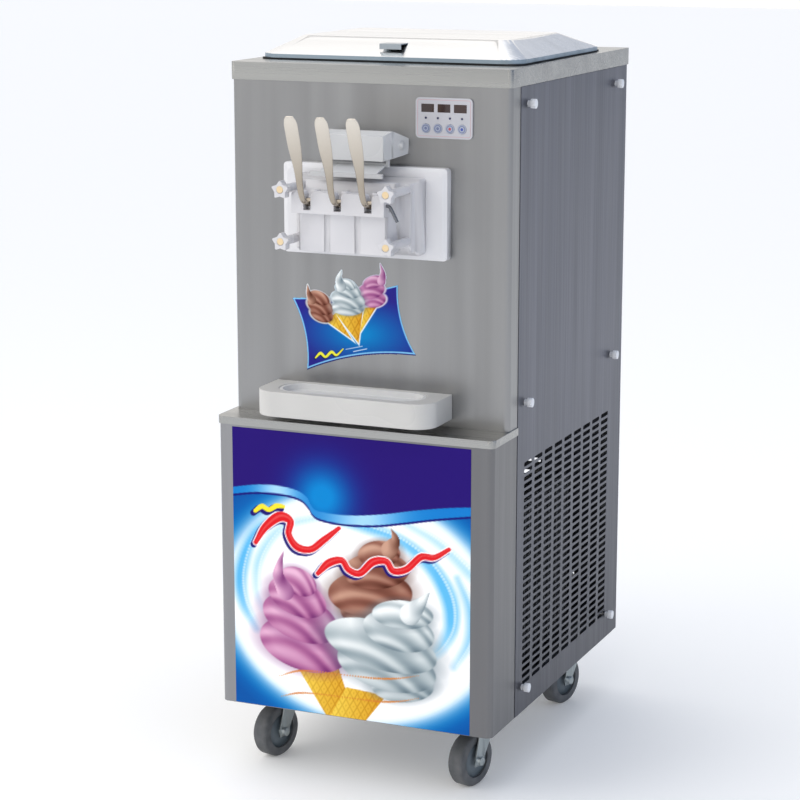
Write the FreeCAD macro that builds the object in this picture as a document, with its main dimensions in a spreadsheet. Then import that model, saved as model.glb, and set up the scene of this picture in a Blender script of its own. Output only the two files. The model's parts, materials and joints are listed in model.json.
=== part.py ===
import FreeCAD, Part
import math
import os
import re
import Sketcher

# Floor-standing soft serve machine with two freezing cylinders and three draw levers.
# Millimetres. X runs to the right, Y runs backwards and Z runs up. The origin is on the floor,
# midway between the lever tips and the back of the cable gland, on the machine's centre plane.

doc = FreeCAD.newDocument("soft_serve_machine")
dims = doc.addObject("Spreadsheet::Sheet", "dims")

SIZES = {
    # cabinet
    "cabinet_wide": 540, "cabinet_deep": 728, "top_height": 1319, "floor_gap": 132,
    "front_y": -308.6, "step_deep": 74, "step_height": 680, "step_edge": 14, "step_lip": 2,
    "sheet_wall": 1.5, "bend_round": 12, "band_high": 32, "band_proud": 1.5, "band_round": 8,
    "seam_front": 120, "seam_back": 41, "seam_gap": 0.6, "side_proud": 1,
    "tube_wide": 25, "tube_wall": 1.5, "floor_sheet": 2, "run_gap": 0.3, "fit_gap": 0.05,
    # side vents
    "vent_long": 43, "vent_high": 8, "vent_pitch": 54.8, "vent_rise": 13.4,
    "vent_start": 155, "vent_low": 184, "vent_columns": 9, "vent_rows": 32,
    # thumb screws
    "thumb_front": 155, "thumb_back": 83, "thumb_low": 182, "thumb_mid": 720, "thumb_top": 1255,
    "thumb_head": 8.5, "thumb_head_long": 9, "thumb_collar": 5.5, "thumb_collar_long": 6,
    "thumb_stem": 3, "thumb_stem_long": 12,
    # freezing cylinders and beaters
    "barrel_clear": 6, "barrel_height": 1062, "barrel_round": 50, "barrel_wall": 4,
    "barrel_long": 345, "barrel_back": 6, "beater_shaft": 6, "beater_reach": 44,
    "beater_blade": 8, "beater_start": 14, "gearbox_wide": 52, "gearbox_deep": 60,
    "motor_round": 48, "motor_long": 165,
    # mix hoppers
    "hopper_gap": 28, "hopper_wide": 192, "hopper_long": 390, "hopper_deep": 180,
    "hopper_start": 175, "hopper_rim": 8, "hopper_round": 30, "feed_round": 11, "feed_wall": 1.5,
    # lid
    "lid_wide": 510, "lid_long": 458, "lid_start": 152, "lid_lip": 7, "lid_rise": 37,
    "lid_slope_side": 51, "lid_slope_front": 74, "lid_slope_rear": 105, "lid_round": 38,
    "lid_wall": 1.5, "lid_lift_gap": 1.5,
    "grip_wide": 42, "grip_start": 20, "grip_rise": 29, "grip_high": 10,
    # dispensing head
    "surround_margin": 38.5, "surround_under": 11, "surround_over": 17, "surround_deep": 22,
    "surround_edge": 10, "surround_round": 7,
    "flange_margin": 11, "flange_under": 5, "flange_over": 6, "flange_deep": 23, "flange_round": 5,
    "cheek_margin": 9, "cheek_under": 22, "cheek_over": 11, "cheek_deep": 15,
    "block_margin": 27, "block_low": 1001, "block_front": 108, "shelf_height": 1075,
    "wall_back": 80, "wall_top": 1127,
    "bar_margin": 30, "bar_low": 1070, "bar_top": 1108, "bar_back": 110, "bar_front": 133,
    "lug_round": 7,
    "lever_gap": 58, "lever_slot": 14, "slot_floor": 1076, "pad_wide": 46, "pad_proud": 4,
    "plug_long": 9, "plug_slack": 1.5,
    # levers, pivot rod and plungers
    "pivot_ahead": 121, "pivot_height": 1089, "rod_round": 3, "rod_leg": 26, "rod_bend": 8, "rod_turn": 62,
    "hub_round": 7.5, "hub_wide": 11, "finger_reach": 26, "finger_ball": 4.7, "finger_thick": 4,
    "finger_wide": 9, "finger_dip": 15, "lever_scale": 1,
    "plunger_round": 10, "plunger_low": 1012, "plunger_top": 1108, "notch_high": 10,
    "outlet_round": 7.5, "inlet_round": 6, "inlet_height": 1019,
    # clamp knobs
    "knob_tuck": 8, "knob_dip": 1, "knob_front": 154, "star_thick": 16,
    "star_outer": 17.5, "star_inner": 11, "sleeve_round": 8, "stud_round": 4, "stud_end": 138,
    "inlay_round": 6.5, "inlay_deep": 1.5,
    # switch housing and flap
    "hood_back_wide": 156, "hood_mid_wide": 130, "hood_front_wide": 114,
    "hood_mid": 40, "hood_front": 65, "hood_back_low": 1167, "hood_back_top": 1194,
    "hood_mid_low": 1161, "hood_mid_top": 1209, "hood_front_low": 1158, "hood_front_top": 1202,
    "boss_round": 6.5, "boss_ahead": 18, "boss_height": 1183, "boss_long": 6,
    "flap_wide": 110, "flap_pivot": 46, "flap_height": 1151, "flap_reach": 47, "flap_drop": 15,
    "flap_thick": 3, "flap_lip_wide": 138, "flap_lip_high": 8, "flap_lip_thick": 5,
    "flap_barrel": 4, "flap_pin": 2, "ear_thick": 5,
    # control panel
    "panel_x": 146, "panel_z": 1231.5, "panel_wide": 107, "panel_high": 71, "panel_round": 8,
    "panel_deep": 3.5, "window_wide": 24, "window_high": 14.5, "window_pitch": 30.7,
    "window_rise": 17.2, "window_deep": 1.5, "lamp_round": 2, "lamp_pitch": 22.7,
    "lamp_proud": 0.7, "button_round": 8, "button_pitch": 22.7, "button_drop": 18.2,
    "button_proud": 0.9, "button_thick": 4, "board_margin": 7,
    # drip tray
    "tray_wide": 346, "tray_left": 183, "tray_deep": 108, "tray_low": 695, "tray_high": 46,
    "tray_round": 40,
    "basin_front": 17, "basin_side": 32, "basin_back": 9, "basin_round": 39, "basin_deep": 18,
    "liner_drop": 1, "liner_wall": 2.5, "liner_ledge": 4, "liner_deep": 13,
    "bracket_wide": 200, "bracket_reach": 62, "bracket_thick": 3, "bracket_rise": 5,
    "bracket_back": 26, "tray_slack": 0.5,
    # decals
    "poster_wide": 470, "poster_low": 133, "poster_top": 662, "decal_thick": 0.4, "poster_x": -6,
    # casters
    "caster_inset": 70, "caster_front": 130, "caster_back": 100, "caster_trail": 32,
    "caster_yaw": -15, "wheel_round": 50, "wheel_wide": 32, "hub_rim": 33, "hub_boss": 11,
    "axle_round": 5, "fork_gap": 19.5, "fork_wall": 3, "race_round": 30, "race_high": 14,
    "mount_plate": 90, "plate_thick": 3, "kingpin_round": 6, "axle_nut": 8, "nut_thick": 6,
    # running gear on the floor plate
    "comp_x": -120, "comp_s": 470, "comp_round": 78, "comp_high": 190, "comp_dome": 30,
    "coil_x": 185, "coil_thick": 44, "coil_start": 190, "coil_long": 330, "coil_high": 330,
    "coil_low": 172, "fin_pitch": 22, "fin_thick": 2, "shroud_deep": 26, "fan_round": 140,
    "fan_hub": 28, "fan_wide": 14, "fan_blades": 5, "fan_gap": 6, "fan_motor_round": 42,
    "fan_motor_long": 70,
    # electrical box and cable gland
    "ebox_wide": 150, "ebox_deep": 36, "ebox_high": 86, "ebox_drop": 14, "ebox_wall": 1.5,
    "gland_x": 170, "gland_z": 235, "gland_bore": 6.5, "gland_round": 11, "gland_long": 15.6,
    "gland_nut": 15, "gland_nut_thick": 6,
}

# Sizes and places that follow from the ones above.
SIZES.update({
    "seam_rear": "=cabinet_deep - seam_back",
    "thumb_rear": "=cabinet_deep - thumb_back",
    "caster_rear": "=cabinet_deep - caster_back",
    "caster_x": "=cabinet_wide/2 - caster_inset",
    "barrel_gap": "=barrel_round + barrel_clear",
    "knob_gap": "=lever_gap + barrel_round - knob_tuck",
    "knob_high": "=barrel_height + barrel_round - knob_dip",
    "knob_lower": "=barrel_height - barrel_round + knob_tuck",
    "bar_wide": "=2*(lever_gap + bar_margin)",
    "block_wide": "=2*(lever_gap + block_margin)",
    "cheek_wide": "=2*(knob_gap + cheek_margin)",
    "cheek_low": "=knob_lower - cheek_under",
    "cheek_top": "=knob_high + cheek_over",
    "flange_wide": "=cheek_wide + 2*flange_margin",
    "flange_low": "=cheek_low - flange_under",
    "flange_top": "=cheek_top + flange_over",
    "surround_wide": "=flange_wide + 2*surround_margin",
    "surround_low": "=flange_low - surround_under",
    "surround_top": "=flange_top + surround_over",
})

for row, (alias, size) in enumerate(SIZES.items(), start=1):
    dims.set(f"A{row}", alias)
    dims.set(f"B{row}", str(size))
    dims.setAlias(f"B{row}", alias)
doc.recompute()


# ---- expressions and primitives -------------------------------------------------------------

def linked(text):
    """The expression with each size read from the spreadsheet."""
    return re.sub(r"[a-z_]\w*", lambda m: "dims." + m[0] if m[0] in SIZES else m[0], str(text))


def worth(text):
    """The present value of an expression."""
    result = dims.evalExpression(linked(text))
    return float(getattr(result, "Value", result))


def bind(thing, **sizes):
    for name, text in sizes.items():
        thing.setExpression(name, linked(text))


def put(thing, x, y, z, axis=(0, 0, 1), turn=0):
    spin = FreeCAD.Rotation(FreeCAD.Vector(*axis), turn)
    thing.Placement = FreeCAD.Placement(FreeCAD.Vector(), spin)
    for letter, text in zip("xyz", (x, y, z)):
        thing.setExpression(f"Placement.Base.{letter}", linked(text))
    return thing


def box(x0, x1, y0, y1, z0, z1):
    solid = doc.addObject("Part::Box", "block")
    bind(solid, Length=f"({x1}) - ({x0})", Width=f"({y1}) - ({y0})", Height=f"({z1}) - ({z0})")
    return put(solid, x0, y0, z0)


TURNS = {"X": ((0, 1, 0), 90), "Y": ((1, 0, 0), -90), "Z": ((0, 0, 1), 0)}


def rod(along, radius, length, x, y, z):
    """A cylinder that starts at the point and runs along +X, +Y or +Z."""
    solid = doc.addObject("Part::Cylinder", "rod")
    bind(solid, Radius=radius, Height=length)
    return put(solid, x, y, z, *TURNS[along])


def cone(along, radius_start, radius_end, length, x, y, z):
    solid = doc.addObject("Part::Cone", "cone")
    bind(solid, Radius1=radius_start, Radius2=radius_end, Height=length)
    return put(solid, x, y, z, *TURNS[along])


def hex_nut(radius, length, x, y, z):
    """A six-sided prism that starts at the point and runs along +Y."""
    nut = doc.addObject("Part::Prism", "nut")
    nut.Polygon = 6
    bind(nut, Circumradius=radius, Height=length)
    return put(nut, x, y, z, *TURNS["Y"])


def fused(*solids):
    union = doc.addObject("Part::MultiFuse", "union")
    union.Shapes = list(solids)
    return union


def grouped(*solids):
    group = doc.addObject("Part::Compound", "group")
    group.Links = list(solids)
    return group


def less(base, *tools):
    cut = doc.addObject("Part::Cut", "cut")
    cut.Base = base
    cut.Tool = tools[0] if len(tools) == 1 else fused(*tools)
    return cut


# ---- sketches and part design features -------------------------------------------------------

def axis_y(text):
    """Sketches on the XZ plane face the front, so their offset runs along -Y."""
    return f"-({text})"


def sketch_on(body, role, offset):
    sketch = body.newObject("Sketcher::SketchObject", "sketch")
    plane = [face for face in body.Origin.OriginFeatures if face.Role == role][0]
    sketch.AttachmentSupport = [(plane, "")]
    sketch.MapMode = "FlatFace"
    sketch.setExpression("AttachmentOffset.Base.z", linked(offset))
    return sketch


def pin_down(sketch, geometry, point, x, y):
    """Fix one point of the sketch with two bound distances from the sketch's origin."""
    for kind, text in (("DistanceX", x), ("DistanceY", y)):
        rule = Sketcher.Constraint(kind, -1, 1, geometry, point, worth(text))
        number = sketch.addConstraint(rule)
        sketch.setExpression(f"Constraints[{number}]", linked(text))


def corner_step(here, other, radius):
    """How far the rounded corner's arc reaches from the corner towards its neighbour."""
    return "0" if abs(other - here) < 1e-6 else f"({radius})*{1 if other > here else -1}"


def outline(sketch, corners):
    """A closed outline of straight sides. A corner is (x, y), or (x, y, radius) where the
    two sides that meet there run along the sketch's axes."""
    flat = [(worth(corner[0]), worth(corner[1])) for corner in corners]
    count = len(corners)
    ends = []
    for i, corner in enumerate(corners):
        if len(corner) == 2:
            ends.append([(corner[0], corner[1])])
            continue
        x, y, radius = corner
        pair = []
        for other in (flat[i - 1], flat[(i + 1) % count]):
            dx = corner_step(flat[i][0], other[0], radius)
            dy = corner_step(flat[i][1], other[1], radius)
            pair.append((f"({x}) + {dx}", f"({y}) + {dy}"))
        ends.append(pair)
    lines = []
    for i in range(count):
        start = ends[i][-1]
        stop = ends[(i + 1) % count][0]
        points = [FreeCAD.Vector(worth(x), worth(y), 0) for x, y in (start, stop)]
        line = sketch.addGeometry(Part.LineSegment(*points), False)
        lines.append(line)
        pin_down(sketch, line, 1, *start)
        if len(ends[(i + 1) % count]) == 2:
            pin_down(sketch, line, 2, *stop)
    for i in range(count):
        before = lines[i - 1]
        after = lines[i]
        if len(corners[i]) == 2:
            sketch.addConstraint(Sketcher.Constraint("Coincident", before, 2, after, 1))
        else:
            round_corner(sketch, flat[i], ends[i], corners[i][2], before, after)


def round_corner(sketch, corner, ends, radius, before, after):
    """An arc between the two sides that meet at the corner, always drawn anticlockwise."""
    size = worth(radius)
    first, last = [FreeCAD.Vector(worth(x), worth(y), 0) for x, y in ends]
    centre = first + last - FreeCAD.Vector(*corner, 0)
    spokes = [point - centre for point in (first, last)]
    joined = [(before, 2), (after, 1)]
    if spokes[0].cross(spokes[1]).z < 0:
        spokes.reverse()
        joined.reverse()
    begin, finish = [math.atan2(spoke.y, spoke.x) for spoke in spokes]
    if finish < begin:
        finish += 2 * math.pi
    circle = Part.Circle(centre, FreeCAD.Vector(0, 0, 1), size)
    arc = sketch.addGeometry(Part.ArcOfCircle(circle, begin, finish), False)
    for point, (line, end) in enumerate(joined, start=1):
        sketch.addConstraint(Sketcher.Constraint("Coincident", line, end, arc, point))
    number = sketch.addConstraint(Sketcher.Constraint("Radius", arc, size))
    sketch.setExpression(f"Constraints[{number}]", linked(radius))


def ring(sketch, x, y, radius):
    circle = Part.Circle(FreeCAD.Vector(worth(x), worth(y), 0), FreeCAD.Vector(0, 0, 1),
                         worth(radius))
    hole = sketch.addGeometry(circle, False)
    pin_down(sketch, hole, 3, x, y)
    number = sketch.addConstraint(Sketcher.Constraint("Radius", hole, worth(radius)))
    sketch.setExpression(f"Constraints[{number}]", linked(radius))


def rectangle(x0, x1, y0, y1, radius=None):
    tail = () if radius is None else (radius,)
    return [(x0, y0) + tail, (x1, y0) + tail, (x1, y1) + tail, (x0, y1) + tail]


def stadium(sketch, x0, x1, y0, y1):
    """A slot with half-round ends, long side along x."""
    half = f"((({y1}) - ({y0}))/2)"
    left, right = f"({x0}) + {half}", f"({x1}) - {half}"
    middle = f"(({y1}) + ({y0}))/2"
    spot = {name: worth(text) for name, text in
            (("l", left), ("r", right), ("m", middle), ("h", half), ("b", y0), ("t", y1))}
    up = FreeCAD.Vector(0, 0, 1)
    upper = Part.LineSegment(FreeCAD.Vector(spot["r"], spot["t"], 0),
                             FreeCAD.Vector(spot["l"], spot["t"], 0))
    lower = Part.LineSegment(FreeCAD.Vector(spot["l"], spot["b"], 0),
                             FreeCAD.Vector(spot["r"], spot["b"], 0))
    top_line = sketch.addGeometry(upper, False)
    bottom_line = sketch.addGeometry(lower, False)
    pin_down(sketch, top_line, 1, right, y1)
    pin_down(sketch, top_line, 2, left, y1)
    turns = (("r", right, -90, 90, (bottom_line, 2), (top_line, 1)),
             ("l", left, 90, 270, (top_line, 2), (bottom_line, 1)))
    for side, place, begin, finish, enter, leave in turns:
        circle = Part.Circle(FreeCAD.Vector(spot[side], spot["m"], 0), up, spot["h"])
        sweep = Part.ArcOfCircle(circle, math.radians(begin), math.radians(finish))
        arc = sketch.addGeometry(sweep, False)
        pin_down(sketch, arc, 3, place, middle)
        sketch.addConstraint(Sketcher.Constraint("Coincident", arc, 1, *enter))
        sketch.addConstraint(Sketcher.Constraint("Coincident", arc, 2, *leave))
        lower_end = 1 if side == "r" else 2
        sketch.addConstraint(Sketcher.Constraint("Vertical", arc, lower_end, arc, 3))


def new_body():
    return doc.addObject("PartDesign::Body", "body")


def pad(body, sketch, length, towards_back=False):
    feature = body.newObject("PartDesign::Pad", "pad")
    feature.Profile = sketch
    bind(feature, Length=length)
    feature.Reversed = towards_back
    doc.recompute()
    return feature


def pocket(body, sketch, length, along_normal=False):
    """Cut the sketch's outlines, away from or along its plane's normal."""
    before = body.Shape.Volume
    feature = body.newObject("PartDesign::Pocket", "pocket")
    feature.Profile = sketch
    bind(feature, Length=length)
    feature.Reversed = along_normal
    doc.recompute()
    if not body.Shape.Volume < before - 1e-3:
        raise ValueError("a pocket cuts nothing in " + body.Label)
    return feature


def plate_z(low, high, corners):
    """A body padded upwards from an outline in plan."""
    body = new_body()
    sketch = sketch_on(body, "XY_Plane", low)
    outline(sketch, corners)
    pad(body, sketch, f"({high}) - ({low})")
    return body


def plate_y(front, back, corners):
    """A body padded backwards from an outline seen from the front."""
    body = new_body()
    sketch = sketch_on(body, "XZ_Plane", axis_y(front))
    outline(sketch, corners)
    pad(body, sketch, f"({back}) - ({front})", towards_back=True)
    return body


def cut_y(body, front, depth, outlines=(), rings=()):
    """Cut outlines and round holes backwards from a plane that faces the front."""
    sketch = sketch_on(body, "XZ_Plane", axis_y(front))
    for corners in outlines:
        outline(sketch, corners)
    for x, z, radius in rings:
        ring(sketch, x, z, radius)
    return pocket(body, sketch, depth)


def cut_down(body, top, depth, outlines=(), rings=()):
    """Cut outlines and round holes downwards from a level."""
    sketch = sketch_on(body, "XY_Plane", top)
    for corners in outlines:
        outline(sketch, corners)
    for x, y, radius in rings:
        ring(sketch, x, y, radius)
    return pocket(body, sketch, depth)


nodes = {}


def finished(name, solid):
    solid.Label = name
    nodes[name] = solid


# ---- levels and faces that several pieces share ----------------------------------------------

HALF = "cabinet_wide/2"
FRONT = "front_y"
FACE = "(front_y + step_deep)"
BACK = "(front_y + cabinet_deep)"
BAND_LOW = "(top_height - band_high)"
STEP_LOW = "(step_height - step_edge)"
RAIL_LOW = "(floor_gap + plate_thick)"
RAIL_TOP = "(floor_gap + plate_thick + tube_wide)"
FLOOR_TOP = "(floor_gap + plate_thick + tube_wide + floor_sheet)"


def ahead(distance):
    """A plane that far in front of the upper front panel."""
    return f"({FACE} - ({distance}))"


def behind(distance):
    """A plane that far behind the lower front panel."""
    return f"({FRONT} + ({distance}))"


SIDES = (("left", -1), ("right", 1))
LEVERS = (("left", -1), ("centre", 0), ("right", 1))


# ---- cabinet frame, floor and panels ----------------------------------------------------------

def tube(along, x0, x1, y0, y1, z0, z1):
    """A square tube between two corners, open at both ends along one axis."""
    spans = [[x0, x1], [y0, y1], [z0, z1]]
    inner = [[f"{low} + tube_wall", f"{high} - tube_wall"] for low, high in spans]
    inner["XYZ".index(along)] = [f"{spans['XYZ'.index(along)][0]} - 1",
                                 f"{spans['XYZ'.index(along)][1]} + 1"]
    return less(box(*spans[0], *spans[1], *spans[2]), box(*inner[0], *inner[1], *inner[2]))


def make_frame():
    """Square tubes: a floor ring, two short posts under the step, four tall posts, a ring under
    the top and a rail across the back."""
    inner = f"({HALF} - sheet_wall)"
    tubes = []
    low_front = f"({FRONT} + sheet_wall)"
    face = f"({FACE} + sheet_wall + bend_round)"
    back = f"({BACK} - sheet_wall)"
    top_rail = f"({BAND_LOW} - tube_wide)"
    for _, side in SIDES:
        outer_x = f"{side}*{inner}"
        inner_x = f"{side}*({inner} - tube_wide)"
        spread = (outer_x, inner_x) if side < 0 else (inner_x, outer_x)
        tubes.append(tube("Y", *spread, f"{low_front} + bend_round", f"{back} - bend_round",
                          RAIL_LOW, RAIL_TOP))
        for start, top in ((f"({low_front} + bend_round)", STEP_LOW), (face, top_rail),
                           (f"({back} - bend_round - tube_wide)", top_rail)):
            tubes.append(tube("Z", *spread, start, f"{start} + tube_wide", RAIL_TOP, top))
        tubes.append(tube("Y", *spread, face, f"{back} - bend_round", top_rail, BAND_LOW))
    cross = (f"-({inner} - tube_wide)", f"{inner} - tube_wide")
    for start, level in ((low_front, RAIL_LOW), (f"({back} - tube_wide)", RAIL_LOW),
                         (face, top_rail), (f"({back} - bend_round - tube_wide)", top_rail),
                         (f"({back} - bend_round - tube_wide)", f"({STEP_LOW} - tube_wide)")):
        tubes.append(tube("X", *cross, start, f"{start} + tube_wide", level, f"{level} + tube_wide"))
    finished("frame", grouped(*tubes))


def make_floor_plate():
    """The sheet inside the floor ring that carries the compressor and the condenser."""
    reach = f"({HALF} - sheet_wall - tube_wide)"
    finished("floor_plate", box(f"-{reach}", reach, behind("tube_wide/2"), f"{BACK} - tube_wide/2",
                                RAIL_TOP, FLOOR_TOP))


def wrapped_sheet(face, seam, low, high, side):
    """A sheet across the machine, with both edges folded back along the sides."""
    depth = f"{side}*sheet_wall"
    inner = f"({HALF} - sheet_wall)"
    bend_in = "(bend_round - sheet_wall)"
    return plate_z(low, high, [
        (f"-{HALF}", seam), (f"-{HALF}", face, "bend_round"), (HALF, face, "bend_round"),
        (HALF, seam), (inner, seam), (inner, f"{face} + {depth}", bend_in),
        (f"-{inner}", f"{face} + {depth}", bend_in), (f"-{inner}", seam)])


def make_front_panels():
    seam = behind("seam_front")
    upper = wrapped_sheet(FACE, seam, "step_height", BAND_LOW, 1)
    barrels = [(f"{side}*barrel_gap", "barrel_height", "barrel_round + run_gap")
               for _, side in SIDES]
    studs = [(f"{side}*knob_gap", height, "stud_round + run_gap")
             for _, side in SIDES for height in ("knob_high", "knob_lower")]
    board = rectangle("panel_x - panel_wide/2 + board_margin", "panel_x + panel_wide/2 - board_margin",
                      "panel_z - panel_high/2 + board_margin", "panel_z + panel_high/2 - board_margin")
    cut_y(upper, f"{FACE} - 1", "sheet_wall + 2", [board], barrels + studs)
    finished("upper_front_panel", upper)
    finished("lower_front_panel", wrapped_sheet(FRONT, seam, "floor_gap", STEP_LOW, 1))


def make_rear_panel():
    """The back sheet, with rows of vent slots low down and a hole for the cable gland."""
    rear = wrapped_sheet(BACK, behind("seam_rear"), "floor_gap", BAND_LOW, -1)
    sketch = sketch_on(rear, "XZ_Plane", axis_y(f"{BACK} + 1"))
    low = "vent_low + vent_rise"
    outline(sketch, rectangle("-2*vent_pitch - vent_long", "-vent_long/2", low, f"{low} + vent_high"))
    outline(sketch, rectangle("-vent_pitch/4", "vent_long + vent_pitch", low, f"{low} + vent_high"))
    slot = pocket(rear, sketch, "sheet_wall + 2", along_normal=True)
    rows = rear.newObject("PartDesign::LinearPattern", "rows")
    rows.Originals = [slot]
    rows.Direction = (sketch, ["V_Axis"])
    rows.Mode = "Spacing"
    bind(rows, Offset="2*vent_rise", Occurrences="vent_rows/2 - 2")
    rear.Tip = rows
    doc.recompute()
    gland = sketch_on(rear, "XZ_Plane", axis_y(f"{BACK} + 1"))
    ring(gland, "gland_x", "gland_z", "gland_round")
    pocket(rear, gland, "sheet_wall + 2", along_normal=True)
    finished("rear_panel", rear)


def thumb_spots():
    return [(f"thumb_{place}", f"thumb_{level}")
            for place in ("front", "rear") for level in ("low", "mid", "top")]


def make_side_panels():
    """A flat sheet with a block of vent slots in its lower half and six screw holes."""
    panel = new_body()
    inner = f"{HALF} - sheet_wall + side_proud"
    sheet = sketch_on(panel, "YZ_Plane", inner)
    outline(sheet, rectangle(behind("seam_front + seam_gap"), behind("seam_rear - seam_gap"),
                             "floor_gap + seam_gap", f"{BAND_LOW} - seam_gap"))
    pad(panel, sheet, "sheet_wall")
    holes = sketch_on(panel, "YZ_Plane", f"{inner} + sheet_wall + 1")
    for place, level in thumb_spots():
        ring(holes, behind(place), level, "thumb_stem + run_gap")
    pocket(panel, holes, "sheet_wall + 2")
    slots = sketch_on(panel, "YZ_Plane", f"{inner} + sheet_wall + 1")
    stadium(slots, behind("vent_start"), behind("vent_start + vent_long"),
            "vent_low", "vent_low + vent_high")
    slot = pocket(panel, slots, "sheet_wall + 2")
    grille = panel.newObject("PartDesign::MultiTransform", "grille")
    runs = []
    for axis, pitch, count in (("H_Axis", "vent_pitch", "vent_columns"),
                               ("V_Axis", "vent_rise", "vent_rows")):
        run = panel.newObject("PartDesign::LinearPattern", "run")
        run.Direction = (slots, [axis])
        run.Mode = "Spacing"
        bind(run, Offset=pitch, Occurrences=count)
        runs.append(run)
    grille.Originals = [slot]
    grille.Transformations = runs
    panel.Tip = grille
    doc.recompute()
    finished("side_panel_right", panel)
    mirrored = doc.addObject("Part::Mirroring", "mirrored")
    mirrored.Source = panel
    mirrored.Normal = FreeCAD.Vector(1, 0, 0)
    finished("side_panel_left", mirrored)


def make_thumb_screws():
    """Plastic thumb screws, six a side: a stem through the panel, a collar and a knurled head."""
    screws = []
    for _, side in SIDES:
        face = f"({HALF} + side_proud)"
        for place, level in thumb_spots():
            stack = (("thumb_stem", "-thumb_stem_long", "thumb_stem_long + 1"),
                     ("thumb_collar", "0", "thumb_collar_long"),
                     ("thumb_head", "thumb_collar_long", "thumb_head_long"))
            pieces = []
            for radius, start, length in stack:
                low = f"{face} + {start}" if side > 0 else f"-({face} + {start} + {length})"
                pieces.append(rod("X", radius, length, low, behind(place), level))
            screws.append(fused(*pieces))
    finished("thumb_screws", grouped(*screws))


def make_step_shelf():
    """The folded stainless shelf on the lower cabinet, hollow underneath. The upper front panel
    stands on it."""
    reach = f"({HALF} + step_lip)"
    seam = behind("seam_front")
    shelf = plate_z(STEP_LOW, "step_height", [
        (f"-{reach}", behind("-step_lip"), "bend_round"), (reach, behind("-step_lip"), "bend_round"),
        (reach, seam), (f"-{reach}", seam)])
    inner = f"({HALF} - tube_wide)"
    hollow = sketch_on(shelf, "XY_Plane", STEP_LOW)
    outline(hollow, rectangle(f"-{inner}", inner, behind("tube_wide"), behind("step_deep - bend_round")))
    pocket(shelf, hollow, "step_edge - sheet_wall", along_normal=True)
    post = f"({FACE} + sheet_wall + bend_round)"
    window = rectangle(f"-{HALF} + sheet_wall", f"{HALF} - sheet_wall", post, f"{seam} + 1")
    cut_down(shelf, "step_height + 1", "step_edge + 2", [window])
    finished("step_shelf", shelf)


def make_top_cover():
    """The folded stainless top, with a front band and two openings for the mix hoppers."""
    reach = f"({HALF} + band_proud)"
    front = f"({FACE} - band_proud)"
    back = f"({BACK} + band_proud)"
    cover = plate_z(BAND_LOW, "top_height", rectangle(f"-{reach}", reach, front, back, "band_round"))
    hollow = sketch_on(cover, "XY_Plane", BAND_LOW)
    outline(hollow, rectangle(f"-{reach} + sheet_wall", f"{reach} - sheet_wall",
                              f"{front} + sheet_wall", f"{back} - sheet_wall",
                              "band_round - sheet_wall"))
    pocket(cover, hollow, "band_high - sheet_wall", along_normal=True)
    wells = []
    for _, side in SIDES:
        near, far = "hopper_gap/2", "hopper_gap/2 + hopper_wide"
        x0, x1 = (near, far) if side > 0 else (f"-({far})", f"-({near})")
        wells.append(rectangle(x0, x1, behind("hopper_start"),
                               behind("hopper_start + hopper_long"), "hopper_round"))
    cut_down(cover, "top_height + 1", "sheet_wall + 2", wells)
    finished("top_cover", cover)


# ---- freezing cylinders, beaters, drives and hoppers ------------------------------------------

BARREL_FRONT = ahead("surround_deep")
BARREL_END = f"({BARREL_FRONT} + barrel_long)"
HOPPER_FLOOR = "(top_height - hopper_deep)"


def make_freezing_cylinders():
    """Two horizontal barrels, open at the front where the door closes them."""
    barrels = []
    for _, side in SIDES:
        x = f"{side}*barrel_gap"
        shell = rod("Y", "barrel_round", "barrel_long", x, BARREL_FRONT, "barrel_height")
        bore = rod("Y", "barrel_round - barrel_wall", "barrel_long - barrel_back", x,
                   BARREL_FRONT, "barrel_height")
        seal = rod("Y", "beater_shaft + fit_gap", "barrel_long + 2", x, BARREL_FRONT, "barrel_height")
        feed = rod("Z", "feed_round", "barrel_round + 5", f"{side}*(hopper_gap + hopper_wide)/2",
                   behind("hopper_start + 2*hopper_round"), "barrel_height")
        barrels.append(less(shell, bore, seal, feed))
    finished("freezing_cylinders", grouped(*barrels))


def make_beater(name, side):
    """A shaft with three spiders that carry three scraper blades."""
    x = f"{side}*barrel_gap"
    start = f"({BARREL_FRONT} + beater_start)"
    stop = f"({BARREL_END} - barrel_back - 3)"
    pieces = [rod("Y", "beater_shaft", f"{stop} - {start} + barrel_back + gearbox_deep/2",
                  x, start, "barrel_height")]
    for share in (0, 1, 2):
        place = f"{start} + ({stop} - {start} - 4)*{share}/2"
        spider = rod("Y", "beater_reach - 2", "4", x, place, "barrel_height")
        gaps = [rod("Y", "8", "8", f"{x} + 26*{math.cos(math.radians(angle)):.4f}", f"{place} - 2",
                    f"barrel_height + 26*{math.sin(math.radians(angle)):.4f}")
                for angle in (30, 150, 270)]
        pieces.append(less(spider, *gaps))
    for angle in (90, 210, 330):
        blade = doc.addObject("Part::Box", "blade")
        bind(blade, Length="4", Width=f"{stop} - {start}", Height="beater_blade")
        lean = math.radians(angle)
        along = f"(beater_reach - beater_blade)*{math.cos(lean):.5f} + 2*{math.sin(lean):.5f}"
        rise = f"(beater_reach - beater_blade)*{math.sin(lean):.5f} - 2*{math.cos(lean):.5f}"
        put(blade, f"{x} + {along}", start, f"barrel_height + {rise}", (0, 1, 0), 90 - angle)
        pieces.append(blade)
    finished(name, fused(*pieces))


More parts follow.
